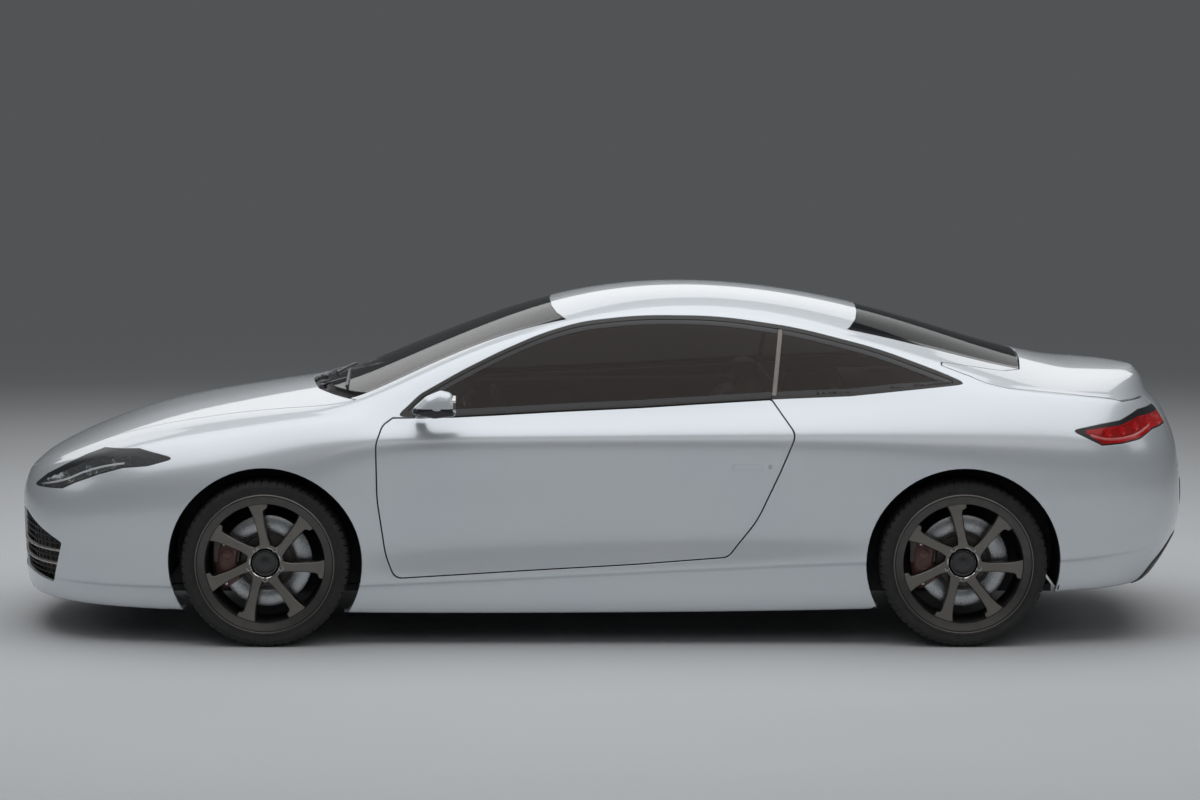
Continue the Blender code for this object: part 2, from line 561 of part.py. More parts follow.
LID_PIN_RADIUS = 0.003
lid_x, lid_y = float(place(LID_HINGE_X)), LID_HINGE_Y * WIDTH / REF_WIDTH
lid_z = skin_height(lid_x, lid_y) - LID_HINGE_DEPTH

rail = skin("roof_rail", 8.5, 17.7, 5.4, 8.7, 13, 5, 0, 0.014)
keep(rail, side(RAIL_ZONE, -HAIRLINE))
cut(rail, side(GLASSHOUSE, HAIRLINE), side(DOOR, SHUT_GAP / 2), plan(WHOLE_TOP, HAIRLINE), lid_cutter(SHUT_GAP / 2))
combine(rail, block("boss", (lid_x - .009, lid_y - .026, lid_z - .010), (lid_x + .009, lid_y - SHUT_GAP / 2, lid_z + .006)), "UNION")
cut(rail, prism("bore", circle(lid_x, lid_z, LID_PIN_RADIUS + .0005, 10), "xz", lid_y - .024, lid_y))
pair(rail)

rear_wing = skin("rear_wing", 14.0, 22.9, 0, 8.7, 12, 9, 0, SKIN)
keep(rear_wing, side(REAR_ZONE, -HAIRLINE))
cut(rear_wing, side(DOOR, SHUT_GAP / 2), side(GLASSHOUSE, HAIRLINE), arch(X_REAR), side(TAIL_LAMP, HAIRLINE), plan(WHOLE_TOP, HAIRLINE), lid_cutter(SHUT_GAP / 2))
pair(rear_wing)

# Top
COWL = (7.4, 9.6, 7.9, CENTRE, 3, 4)
cowl = skin("cowl", *COWL, .036, .041, both=True)
keep(cowl, plan(COWL_ZONE, .012))
cut(cowl, *both_sides(lambda a, b: block("cut", (.5, a, .5), (1.6, b, 1.3)), .566 * WIDTH / REF_WIDTH, 1.2))
clean(cowl)
screen = skin("windscreen", 7.7, 12.4, 7.8, CENTRE, 8, 4, 0.0015, 0.0065, both=True)
keep(screen, plan(SCREEN_ZONE, -HAIRLINE))
clean(screen)
roof = skin("roof", 11.4, 15.8, 7.8, CENTRE, 7, 4, 0, 0.022, both=True)
keep(roof, plan(ROOF_ZONE, -HAIRLINE))
clean(roof)
window = skin("rear_window", 14.8, 17.8, 7.8, CENTRE, 6, 4, 0.0015, 0.0065, both=True)
keep(window, plan(WINDOW_ZONE, -HAIRLINE))
clean(window)

# Tail
lid = skin("boot_lid", 15.9, LAST, 4.2, CENTRE, 10, 6, 0, SKIN * 1.2, both=True)
keep(lid, lid_cutter(-SHUT_GAP / 2))
for flip in (1, -1):
    low, high = sorted((flip * (lid_y - .022), flip * (lid_y + .016)))
    combine(lid, prism("pin", circle(lid_x, lid_z, LID_PIN_RADIUS, 10), "xz", low, high), "UNION")
clean(lid)
rear_bumper = skin("rear_bumper", 17.2, LAST, 0, 5.2, 9, 6, 0, SKIN * .8, both=True)
keep(rear_bumper, side(TAIL_ZONE, -HAIRLINE, -1.3, 1.3))
cut(rear_bumper, lid_cutter(SHUT_GAP / 2), *both_sides(lambda a, b: arch(X_REAR, low=a, high=b), .40, 1.2))
clean(rear_bumper)
tail_lamp = skin("tail_lamp", 18.0, 22.9, 4.6, 6.9, 7, 4, 0, 0.035)
keep(tail_lamp, side(TAIL_LAMP, -HAIRLINE))
cut(tail_lamp, lid_cutter(SHUT_GAP / 2))
pair(tail_lamp)


# Wheels: tyre, rim, disc and upright for each corner
HUB_RADIUS = 0.055
SPINDLE_RADIUS = 0.018
SPOKES = 7


def wheel(name, x):
    """Tyre, rim with spokes and brake disc of one left corner."""
    r, w, rim = TYRE_DIAMETER / 2, TYRE_WIDTH / 2, RIM_DIAMETER / 2
    centre = (x, WHEEL_Y, WHEEL_Z)
    tyre = lathe("tyre_" + name, [(rim - .004, -w + .010), (r - .030, -w), (r, -w + .030), (r, w - .030), (r - .030, w), (rim - .004, w - .010)], centre, 28)
    body = lathe("rim_" + name, [(rim - .0045, -w + .014), (rim - .0045, w - .014), (rim - .018, w - .014), (rim - .045, w - .040), (rim - .045, -.030), (rim - .030, -w + .014)], centre, 28)
    combine(body, drum("hub", HUB_RADIUS, WHEEL_Y + .020, WHEEL_Y + .085, centre, 14), "UNION")
    for k in range(SPOKES):
        a = math.radians(8 + k * 360 / SPOKES)
        along, across = np.array([math.sin(a), math.cos(a)]), np.array([math.cos(a), -math.sin(a)])
        outline = [(.040, -.020), (.135, -.0155), (rim - .040, -.036), (rim - .022, -.040), (rim - .022, .026), (.135, .0155), (.040, .020)]
        verts = []
        for back in (True, False):
            for reach, offset in outline:
                point = along * reach + across * offset
                verts.append((x + point[0], WHEEL_Y + (.040 + .020 * reach / rim if back else .098), WHEEL_Z + point[1]))
        n = len(outline)
        faces = [list(range(n)), list(range(2 * n - 1, n - 1, -1))] + [[i, (i + 1) % n, (i + 1) % n + n, i + n] for i in range(n)]
        combine(body, solid("spoke", verts, faces), "UNION")
    cut(body, drum("bore", SPINDLE_RADIUS + .0005, WHEEL_Y + .010, WHEEL_Y + .070, centre, 16))
    disc = lathe("disc_" + name, [(.048, .0195), (.070, .0195), (.074, .012), (DISC_DIAMETER / 2, .012), (DISC_DIAMETER / 2, -.012), (.060, -.012), (.060, .010), (.048, .0135)], centre, 20)
    for piece in (tyre, body, disc):
        pair(piece)


def upright(name, x, inner_y):
    """Knuckle with spindle and brake caliper of one left corner."""
    knuckle = block("upright_" + name, (x - .035, inner_y, WHEEL_Z - .10), (x + .035, WHEEL_Y - .035, WHEEL_Z + .10))
    combine(knuckle, drum("hub", .040, WHEEL_Y - .060, WHEEL_Y + .014, (x, 0, WHEEL_Z), 16), "UNION")
    combine(knuckle, drum("spindle", SPINDLE_RADIUS, WHEEL_Y, WHEEL_Y + .066, (x, 0, WHEEL_Z), 16), "UNION")
    combine(knuckle, block("arm", (x + .02, WHEEL_Y - .068, WHEEL_Z + .02), (x + .150, WHEEL_Y - .040, WHEEL_Z + .07)), "UNION")
    reach = DISC_DIAMETER / 2
    for low, high in ((-.045, -.0175), (.0175, .038)):
        combine(knuckle, block("pad", (x + reach - .075, WHEEL_Y + low, WHEEL_Z - .002), (x + reach + .023, WHEEL_Y + high, WHEEL_Z + .08)), "UNION")
    combine(knuckle, block("bridge", (x + reach + .006, WHEEL_Y - .043, WHEEL_Z), (x + reach + .022, WHEEL_Y + .036, WHEEL_Z + .078)), "UNION")
    return knuckle


wheel("front", X_FRONT)
wheel("rear", X_REAR)
knuckle = upright("front", X_FRONT, .655)
cut(knuckle, prism("bore", circle(X_FRONT, KINGPIN_Y, .0105, 12), "xy", WHEEL_Z - .12, WHEEL_Z - .060))
pair(knuckle)
pair(upright("rear", X_REAR, .665))

# Axles: the front arms end in the kingpins
front_axle = block("front_axle", (X_FRONT - .06, -.44, .1855), (X_FRONT + .06, .44, .235))
for flip in (1, -1):
    lo, hi = sorted((flip * .42, flip * (KINGPIN_Y + .014)))
    combine(front_axle, block("arm", (X_FRONT - .022, lo, .190), (X_FRONT + .022, hi, .213)), "UNION")
    combine(front_axle, prism("pin", circle(X_FRONT, flip * KINGPIN_Y, .010, 12), "xy", .205, WHEEL_Z - .065), "UNION")
clean(front_axle)
rear_axle = block("rear_axle", (X_REAR - .06, -.49, .1855), (X_REAR + .06, .49, .27))
for flip in (1, -1):
    lo, hi = sorted((flip * .47, flip * .6646))
    combine(rear_axle, block("arm", (X_REAR - .025, lo, .235), (X_REAR + .025, hi, .262)), "UNION")
clean(rear_axle)

# Structure under the skin
FLOOR_TOP = 0.185
half_floor = [(1.95, .47), (.90, .47), (.90, .8526), (-.50, .8526), (-.54, .79), (-1.01, .79), (-1.01, .47), (-1.80, .47)]
floor = prism("floor_pan", stretched([*half_floor, *[(x, -y) for x, y in reversed(half_floor)]], "xy"), "xy", .158, FLOOR_TOP)
clean(floor)

# Walls beside the engine and the boot reach over the wheelhouses
WALL_LOW, WALL_TOP = FLOOR_TOP + .0006, WHEEL_Z + ARCH_RADIUS + .03
FRONT_WALL = ((.92, WALL_LOW), (1.93, WALL_LOW), (1.93, .60), (1.66, WALL_TOP), (.92, WALL_TOP))
REAR_WALL = ((-1.02, WALL_LOW), (-1.74, WALL_LOW), (-1.80, .26), (-2.00, .28), (-2.00, .60), (-1.82, WALL_TOP), (-1.02, WALL_TOP))
structure = box("front_structure", (.90, -.738, FLOOR_TOP + .0005), (.94, .738, .915))
for flip in (1, -1):
    lo, hi = sorted((flip * .43, flip * .46))
    combine(structure, prism("wall", stretched(FRONT_WALL, "xz"), "xz", lo, hi), "UNION")
    lo, hi = sorted((flip * .661, flip * .734))
    combine(structure, box("post", (.665, lo, FLOOR_TOP + .0007), (.93, hi, .862)), "UNION")
    lo, hi = sorted((flip * .452, flip * .85))
    combine(structure, liner(X_FRONT, lo, hi), "UNION")
    for z, _ in DOOR_HINGE_HEIGHTS:
        z *= HEIGHT / REF_HEIGHT
        lo, hi = sorted((flip * .730, flip * hinge_y))
        combine(structure, block("arm", (hinge_x - .007, lo, z - .016), (hinge_x + .007, hi, z + .016)), "UNION")
        combine(structure, prism("eye", circle(hinge_x, flip * hinge_y, .0085, 12), "xy", z - .015, z + .015), "UNION")
        cut(structure, prism("bore", circle(hinge_x, flip * hinge_y, PIN_RADIUS + .0005, 12), "xy", z - .02, z + .02))
    lo, hi = sorted((flip * .600, flip * .612))
    combine(structure, prism("bracket", around(BRACKET, bonnet_x, bonnet_z), "xz", lo, hi), "UNION")
    cut(structure, prism("bore", circle(bonnet_x, bonnet_z, PIN_RADIUS + .0005, 12), "xz", lo - .01, hi + .01))
shelf = box("shelf", (.93, -.40, .86), (1.125, .40, .98))
cut(shelf, skin("cut", *COWL, -.2, .041 + 2 * HAIRLINE, both=True))
combine(structure, shelf, "UNION")
cut(structure, block("cut", (X_FRONT - .10, -.7, .1), (X_FRONT + .10, .7, .245)))
clean(structure)
engine = box("engine_block", (1.12, -.30, .2355), (1.72, .30, .72))

back = box("rear_structure", (-1.04, -.60, FLOOR_TOP + .0005), (-1.00, .60, .925))
for flip in (1, -1):
    lo, hi = sorted((flip * .46, flip * .50))
    combine(back, prism("wall", stretched(REAR_WALL, "xz"), "xz", lo, hi), "UNION")
    lo, hi = sorted((flip * .485, flip * .85))
    combine(back, liner(X_REAR, lo, hi), "UNION")
combine(back, box("boot_floor", (-2.08, -.475, .40), (-1.02, .475, .42)), "UNION")
combine(back, box("shelf", (-1.40, -.672, .920), (-1.005, .672, .938)), "UNION")
cut(back, block("cut", (X_REAR - .10, -.66, .1), (X_REAR + .10, .66, .29)))
clean(back)

# Cabin
DASH = ((.8995, .62), (.8995, .88, .02), (.62, .905, .05), (.50, .80, .04), (.55, .62, .03))
dash = prism("dashboard", stretched(DASH, "xz"), "xz", -.655, .655)
clean(dash)
SEAT = ((.20, FLOOR_TOP + .0005), (.22, .40, .05), (.10, .45, .04), (-.26, .40, .06), (-.50, .97, .04), (-.60, .97, .03), (-.44, FLOOR_TOP + .0005, .0))
for name, y in (("left", .37), ("right", -.37)):
    clean(prism("front_seat_" + name, stretched(SEAT, "xz"), "xz", y - .25, y + .25))
rear_seat = prism("rear_seat", stretched(((-.52, FLOOR_TOP + .0005), (-.52, .39, .04), (-.86, .41, .05), (-.975, .86, .03), (-.9995, .86), (-.9995, FLOOR_TOP + .0005)), "xz"), "xz", -.56, .56)
clean(rear_seat)
steering = lathe("steering_wheel", [(.165, -.012), (.165, .012), (.190, .012), (.190, -.012)], (0, 0, 0), 24)
combine(steering, drum("boss", .045, -.016, .035, (0, 0, 0), 16), "UNION")
combine(steering, drum("column", .025, .03, .30, (0, 0, 0), 10), "UNION")
combine(steering, block("spokes", (-.17, -.008, -.015), (.17, .008, .015)), "UNION")
steering.data.transform(Matrix.Translation((float(place(.36)), .37, .80 * HEIGHT / REF_HEIGHT)) @ Matrix.Rotation(math.radians(-22), 4, "Y") @ Matrix.Rotation(math.radians(-90), 4, "Z"))
cut(steering, prism("cut", stretched(DASH, "xz"), "xz", -.66, .66, 2 * HAIRLINE))
clean(steering)

# Mirrors and exhaust
MIRROR = ((.775, .900, .01), (.735, .985, .03), (.640, .990, .03), (.575, .965, .02), (.580, .905, .02), (.700, .895, .02))
mirror = prism("mirror", stretched(MIRROR, "xz"), "xz", .925, 1.03)
combine(mirror, box("foot", (.69, .8512, .8919), (.76, .93, .9085)), "UNION")
pair(mirror)
exhaust = box("exhaust", (-2.15, -.30, .27), (-1.88, .30, .3997))
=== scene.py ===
"""Looks of the two-door coupe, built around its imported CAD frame.

Metres. +X is forward, +Y is the car's left, +Z is up; the origin is on the ground.
Left pieces are modelled and right pieces are their mirror.
"""
import math

import bmesh
import bpy
import numpy as np
from mathutils import Matrix, Vector, geometry, kdtree


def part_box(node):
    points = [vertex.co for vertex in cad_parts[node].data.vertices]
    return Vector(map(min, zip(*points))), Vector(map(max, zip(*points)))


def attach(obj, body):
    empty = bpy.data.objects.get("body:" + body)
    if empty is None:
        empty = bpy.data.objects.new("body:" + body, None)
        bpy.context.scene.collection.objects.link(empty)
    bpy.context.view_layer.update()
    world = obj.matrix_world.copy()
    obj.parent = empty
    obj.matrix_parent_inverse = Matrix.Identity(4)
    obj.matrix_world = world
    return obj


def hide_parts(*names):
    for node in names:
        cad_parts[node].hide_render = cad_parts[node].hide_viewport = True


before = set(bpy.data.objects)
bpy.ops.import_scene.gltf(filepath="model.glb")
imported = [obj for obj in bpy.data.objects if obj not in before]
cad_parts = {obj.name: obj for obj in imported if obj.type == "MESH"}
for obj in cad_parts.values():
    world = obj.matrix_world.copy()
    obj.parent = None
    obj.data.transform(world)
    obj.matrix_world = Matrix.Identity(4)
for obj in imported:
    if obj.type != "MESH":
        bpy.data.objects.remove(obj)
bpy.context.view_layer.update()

# Sizes of the body, the same as the CAD's
WIDTH = 1.88
WHEELBASE = 2.72
FRONT_OVERHANG = 1.04
REAR_OVERHANG = 0.93
HEIGHT = 1.36
REF_FRONT, REF_REAR, REF_NOSE, REF_TAIL = 1.305, -1.415, 2.345, -2.345
REF_WIDTH, REF_HEIGHT = 1.88, 1.36
LENGTH = WHEELBASE + FRONT_OVERHANG + REAR_OVERHANG
X_FRONT = LENGTH / 2 - FRONT_OVERHANG
X_REAR = X_FRONT - WHEELBASE
HALF_WIDTH = WIDTH / 2
TYRE_RADIUS = (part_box("tyre_front_left")[1].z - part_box("tyre_front_left")[0].z) / 2
WHEEL_Y = (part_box("tyre_front_left")[0].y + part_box("tyre_front_left")[1].y) / 2
WHEEL_Z = TYRE_RADIUS
ARCH_RADIUS = TYRE_RADIUS + 0.0505

# Gaps and depths of the dressed panels
SEAM = 0.0048
ROLL = 0.0022
FLANGE = 0.014
SEAL_WIDTH = 0.013
SPLIT_WIDTH = SEAL_WIDTH * 1.5
GLASS_INSET = 0.004
GLASS = 0.004
GLASS_ROLL = 0.0008
SCREEN_INSET = 0.0015

# Stations of the body: x, how far the middle runs forward, then (y, z) of the rows
# bottom, crease, flank, waist, shoulder, belt, rail, edge, crown, and the z of the centre.
MID = (
    (1.45, 0.00, (.850, .136), (.885, .235), (.905, .400), (.925, .560), (.905, .700), (.830, .805),
     (.690, .862), (.580, .886), (.300, .913), .920),
    (1.20, 0.06, (.855, .134), (.890, .238), (.908, .400), (.932, .580), (.915, .745), (.850, .845),
     (.735, .893), (.635, .912), (.330, .942), .953),
    (1.00, 0.14, (.858, .132), (.888, .241), (.895, .400), (.925, .600), (.922, .780), (.862, .868),
     (.765, .907), (.690, .925), (.360, .958), .970),
    (0.86, 0.16, (.860, .131), (.886, .246), (.885, .400), (.915, .620), (.925, .806), (.862, .880),
     (.785, .925), (.715, .952), (.375, .985), .998),
    (0.66, 0.14, (.860, .130), (.886, .256), (.878, .400), (.905, .630), (.925, .815), (.852, .893),
     (.740, 1.020), (.670, 1.047), (.365, 1.077), 1.090),
    (0.40, 0.09, (.860, .130), (.886, .269), (.875, .410), (.905, .640), (.925, .820), (.838, .905),
     (.668, 1.135), (.600, 1.165), (.330, 1.200), 1.212),
    (0.12, 0.04, (.860, .131), (.886, .284), (.875, .420), (.905, .645), (.926, .822), (.828, .917),
     (.620, 1.215), (.550, 1.250), (.310, 1.302), 1.318),
    (-0.20, 0.00, (.860, .133), (.886, .300), (.876, .430), (.907, .645), (.928, .824), (.822, .930),
     (.602, 1.242), (.530, 1.282), (.300, 1.347), 1.368),
    (-0.55, -.03, (.862, .137), (.888, .318), (.880, .440), (.912, .645), (.932, .826), (.818, .943),
     (.600, 1.222), (.520, 1.266), (.295, 1.334), 1.356),
    (-0.90, -.06, (.865, .143), (.892, .334), (.890, .440), (.922, .640), (.938, .826), (.815, .957),
     (.618, 1.165), (.520, 1.210), (.290, 1.273), 1.293),
    (-1.20, -.08, (.868, .152), (.898, .342), (.905, .440), (.934, .635), (.938, .822), (.808, .972),
     (.650, 1.090), (.515, 1.138), (.280, 1.190), 1.206),
    (-1.50, -.10, (.868, .178), (.902, .342), (.915, .440), (.940, .630), (.932, .818), (.790, .983),
     (.680, 1.018), (.510, 1.056), (.270, 1.090), 1.102),
    (-1.75, -.10, (.860, .216), (.895, .338), (.908, .440), (.932, .625), (.915, .812), (.790, .965),
     (.705, .988), (.520, 1.018), (.270, 1.038), 1.044),
)
NOSE = ((2.285, .150), (2.325, .170), (2.340, .250), (2.347, .350), (2.349, .450), (2.343, .530),
        (2.325, .590), (2.312, .612), (2.300, .625), (2.290, .633), (2.285, .637))
NOSE_SHARES = ((1.0, .0, .0), (.985, .26, .07), (.93, .52, .17), (.82, .75, .33), (.63, .905, .56),
               (.36, .98, .82))
TAIL = ((-2.20, .232), (-2.225, .242), (-2.336, .420), (-2.348, .500), (-2.342, .640), (-2.320, .760),
        (-2.265, .880), (-2.215, .935), (-2.195, .988), (-2.175, 1.015), (-2.165, 1.023))
TAIL_SHARES = ((.33, .985, .22), (.60, .92, .45), (.80, .78, .67), (.925, .55, .85), (.985, .28, .96),
               (1.0, .0, 1.0))
LIP = 0.06
CENTRE = 10.0
LAST = len(NOSE_SHARES) + len(MID) + len(TAIL_SHARES) - 1.0
FLIP = np.array([1.0, -1.0, 1.0])

# Outlines in side view (x, z, corner radius), in plan (x, y) and from behind (y, z)
DOOR = ((.806, .894, .02), (.845, .868, .05), (.869, .800, .10), (.866, .579, .60), (.836, .363, .30),
        (.800, .268, .045), (.284, .300, 0), (-.136, .324, 0), (-.498, .352, .05), (-.612, .495, .40),
        (-.699, .688, .60), (-.760, .838, .05), (-.668, .962, .02), (-.389, .946, 0), (-.156, .932, 0),
        (.156, .918, 0), (.389, .906, 0), (.565, .898, 0))
GLASSHOUSE = ((.790, .900, .01), (.701, .980, .10), (.546, 1.064, 2), (.391, 1.138, 2), (.235, 1.203, 2),
              (.078, 1.247, 2), (-.157, 1.271, 2), (-.471, 1.267, 2), (-.783, 1.221, 2), (-1.093, 1.144, 2),
              (-1.324, 1.062, .05), (-1.440, 1.016, .01), (-1.168, .992, 0), (-.973, .974, 0),
              (-.668, .962, 0), (-.389, .946, 0), (-.156, .932, 0), (.156, .918, 0), (.389, .906, 0),
              (.565, .898, 0))
HEADLAMP = ((2.255, .590, .01), (2.186, .646, 0), (2.106, .690, 0), (2.026, .728, 0), (1.950, .757, .02),
            (1.800, .767, 0), (1.650, .737, .01), (1.762, .706, 0), (1.860, .696, 0), (1.958, .668, .02),
            (2.056, .630, 0), (2.108, .604, .01))
# Clear part of each lamp below its black brow
LAMP_CLEAR = ((2.228, .5955, .01), (2.180, .632, 0), (2.106, .668, 0), (2.026, .704, 0), (1.950, .731, .02),
              (1.800, .741, 0), (1.715, .7315, .01), (1.765, .711, 0), (1.862, .7005, 0),
              (1.960, .6725, .02), (2.058, .6345, 0), (2.110, .6085, .01))
TAIL_CLEAR = ((-1.872, .8475, .01), (-1.950, .8560, 0), (-2.028, .862, 0), (-2.110, .888, .01),
              (-2.40, .898, .01), (-2.40, .856, .01), (-2.168, .8405, 0), (-2.106, .8115, 0),
              (-2.029, .7995, 0), (-1.951, .7965, .01))
INTAKE = ((2.40, .500, .01), (2.285, .485, 0), (2.215, .440, 0), (2.116, .388, .01), (2.158, .222, .01),
          (2.278, .245, 0), (2.40, .25, .01))
TAIL_LAMP = ((-1.829, .849, .01), (-1.950, .870, 0), (-2.028, .880, 0), (-2.110, .912, .01),
             (-2.40, .925, .01), (-2.40, .850, .01), (-2.168, .835, 0), (-2.106, .806, 0), (-2.029, .794, 0),
             (-1.951, .790, .01))
LID_PLAN = ((-1.6885, .05, 0), (-1.6810, .27, 0), (-1.6640, .480, .01), (-1.600, .545, .03),
            (-1.345, .600, .030), (-1.345, .633, .006), (-1.450, .674, .03), (-1.520, .716, .03),
            (-1.600, .742, 0), (-1.90, .738, 0), (-2.10, .690, 0), (-2.50, .640, .01))
LID_BACK = ((.500, .660, .03), (.500, .945, .02), (.90, .945, .01), (.90, 1.30, .01))
SPLIT_LOW, SPLIT_HIGH = (-.668, .965), (-.713, 1.30)
INTAKE_PILLAR = 0.12
DIFFUSER = ((-.05, .15), (.72, .15), (.66, .30, .03), (.52, .392, .04), (-.05, .392))
PLATE_RECESS = ((-.05, .482), (.27, .482, .02), (.31, .53, .02), (.30, .590, .02), (-.05, .590))
SAIL_X = 0.662
# Step under the sill crease: how far in, over how many rows, between which stations
SILL_STEP, SILL_STEP_ROWS, SILL_ROW = 0.010, 0.11, 2.0
SILL_START, SILL_STOP, SILL_FADE = 2.2, 20.8, 2.0
SILL_TOP = 0.2565
REAR_SILL_TOP = 0.360
TAIL_TOP = 0.66
BUMPER_X = 1.72
REAR_BUMPER_X, LOW_TAIL_X = -1.66, -2.05
DOOR_START, RAIL_START = 0.800, 0.905
RAIL_ZONE = ((.905, .872), (.905, 1.10), (.30, 1.45), (-1.00, 1.45), (-1.72, 1.35), (-1.72, 1.005),
             (-1.60, 1.030), (-1.35, 1.078), (-1.35, 1.055), (-1.20, 1.04), (-.70, 1.10), (.30, 1.10),
             (.75, .95), (.80, .872))


def place(x):
    """Stretch table x so that the axles and ends meet the named sizes."""
    return np.interp(x, (REF_TAIL - .4, REF_TAIL, REF_REAR, REF_FRONT, REF_NOSE, REF_NOSE + .4),
                     (-LENGTH / 2 - .4, -LENGTH / 2, X_REAR, X_FRONT, LENGTH / 2, LENGTH / 2 + .4))


def control_net():
    """Control points of the skin: nose rows, sections and tail rows."""
    rows = []
    for station in MID:
        x, sweep = station[:2]
        points = [p if isinstance(p, tuple) else (0.0, p) for p in station[2:]]
        points.insert(0, (points[0][0] - LIP, points[0][1]))
        rows.append([(x + sweep * (1 - (y / HALF_WIDTH) ** 2), y, z) for y, z in points])
    rows = np.array(rows)
    nets = []
    for ends, shares, base in ((NOSE, NOSE_SHARES, rows[0]), (TAIL, TAIL_SHARES, rows[-1])):
        end = np.array([(x, 0.0, z) for x, z in ends])
        block = []
        for along, out, up in shares:
            rise = 1 - up if ends is NOSE else up
            forward = base[:, 0] + (end[:, 0] - base[:, 0]) * along
            height = base[:, 2] + (end[:, 2] - base[:, 2]) * rise
            block.append(np.stack([forward, base[:, 1] * out, height], 1))
        nets.append(np.array(block))
    net = np.concatenate([nets[0], rows, nets[1]])
    net[..., 0] = place(net[..., 0])
    net[..., 1] *= WIDTH / REF_WIDTH
    net[..., 2] *= HEIGHT / REF_HEIGHT
    return net


NET = control_net()
PADDED = np.concatenate([NET[1:2] * FLIP, NET, NET[-2:-1] * FLIP])


def surface(s, t):
    """Body skin at station s and row t, arrays of the same shape."""
    s, t = np.broadcast_arrays(np.asarray(s, float), np.asarray(t, float))
    shape = s.shape
    s = np.clip(s.ravel(), 0, LAST - 1e-9)
    t = np.clip(t.ravel(), 0, CENTRE - 1e-9)
    i = np.floor(s).astype(int)
    u = (s - i)[:, None, None]
    weights = ((1 - u) ** 3 / 6, (3 * u ** 3 - 6 * u ** 2 + 4) / 6,
               (-3 * u ** 3 + 3 * u ** 2 + 3 * u + 1) / 6, u ** 3 / 6)
    line = sum(w * PADDED[i + m] for m, w in enumerate(weights))
    line = np.concatenate([2 * line[:, :1] - line[:, 1:2], line, line[:, -2:-1] * FLIP], axis=1)
    chord = np.linalg.norm(np.diff(line, axis=1), axis=2, keepdims=True) ** 0.5 + 1e-6
    slope = np.diff(line, axis=1) / chord
    tangent = (slope[:, :-1] * chord[:, 1:] + slope[:, 1:] * chord[:, :-1]) / (chord[:, :-1] + chord[:, 1:])
    j = np.floor(t).astype(int)
    v = (t - j)[:, None]
    n = np.arange(len(t))
    step = chord[n, j + 1]
    p0, p1, m0, m1 = line[n, j + 1], line[n, j + 2], tangent[n, j] * step, tangent[n, j + 1] * step
    points = ((2 * v ** 3 - 3 * v ** 2 + 1) * p0 + (v ** 3 - 2 * v ** 2 + v) * m0
              + (-2 * v ** 3 + 3 * v ** 2) * p1 + (v ** 3 - v ** 2) * m1)
    below = np.clip((SILL_ROW - t) / SILL_STEP_ROWS, 0, 1)
    along = np.clip((s - SILL_START) / SILL_FADE, 0, 1) * np.clip((SILL_STOP - s) / SILL_FADE, 0, 1)
    points[:, 1] -= SILL_STEP * below * below * (3 - 2 * below) * along
    return points.reshape(shape + (3,))


def outward(s, t):
    """Unit normal of the skin, pointing out of the car."""
    e = 0.02
    s = np.clip(np.asarray(s, float), 0.03, LAST - 0.03)
    t = np.clip(np.asarray(t, float), 0.03, CENTRE - 0.05)
    normal = np.cross(surface(s + e, t) - surface(s - e, t), surface(s, t + e) - surface(s, t - e))
    return normal / np.linalg.norm(normal, axis=-1, keepdims=True)


def per_station(s, t):
    """Metres of skin per unit of station."""
    return np.linalg.norm(surface(s + .02, t) - surface(s - .02, t), axis=-1) / .04


def per_row(s, t):
    """Metres of skin per unit of row."""
    t = np.clip(t, .03, CENTRE - .03)
    return np.linalg.norm(surface(s, t + .02) - surface(s, t - .02), axis=-1) / .04


def table(pairs):
    """Function that reads between pairs of key and value."""
    keys, values = zip(*pairs)
    return lambda x: np.interp(x, keys, values)


def rounded(outline, grow=0.0, steps=6):
    """Outline moved outward by grow, then with its corners rounded."""
    points = np.array([p[:2] for p in outline], float)
    radii = [p[2] if len(p) > 2 else 0.0 for p in outline]
    area = 0.5 * np.sum(points[:, 0] * np.roll(points[:, 1], -1) - np.roll(points[:, 0], -1) * points[:, 1])
    if area < 0:
        points, radii = points[::-1], radii[::-1]
    if grow:
        ahead = np.roll(points, -1, 0) - points
        ahead /= np.linalg.norm(ahead, axis=1, keepdims=True)
        side = np.stack([ahead[:, 1], -ahead[:, 0]], 1)
        mitre = side + np.roll(side, 1, 0)
        mitre /= np.maximum(np.sum(mitre * side, axis=1, keepdims=True), 0.15)
        points = points + mitre * grow
    result = []
    for k, corner in enumerate(points):
        before, after = points[k - 1] - corner, points[(k + 1) % len(points)] - corner
        la, lb = np.linalg.norm(before), np.linalg.norm(after)
        a, b = before / la, after / lb
        half = math.acos(float(np.clip(a @ b, -1, 1))) / 2
        reach = min(radii[k] / max(math.tan(half), 1e-6), 0.45 * la, 0.45 * lb)
        if radii[k] <= 0 or reach < 1e-4:
            result.append(corner)
            continue
        for f in np.linspace(0, 1, steps + 1):
            result.append(corner + a * reach * (1 - f) ** 2 + b * reach * f ** 2)
    points = np.array(result)
    return points[np.linalg.norm(points - np.roll(points, 1, 0), axis=1) > 1e-5]


def stretched(outline, plane):
    """Table outline moved to the named sizes."""
    scale = {"x": place, "y": lambda y: y * WIDTH / REF_WIDTH, "z": lambda z: z * HEIGHT / REF_HEIGHT}
    return [(float(scale[plane[0]](p[0])), float(scale[plane[1]](p[1])),
             p[2] if len(p) > 2 else 0.0) for p in outline]


def smoothed(points, passes=2):
    """Closed polyline with its corners cut, for outlines given by straight runs."""
    for _ in range(passes):
        ahead = np.roll(points, -1, 0)
        cut = np.stack([points * .75 + ahead * .25, points * .25 + ahead * .75], 1)
        points = cut.reshape(-1, points.shape[1])
    return points


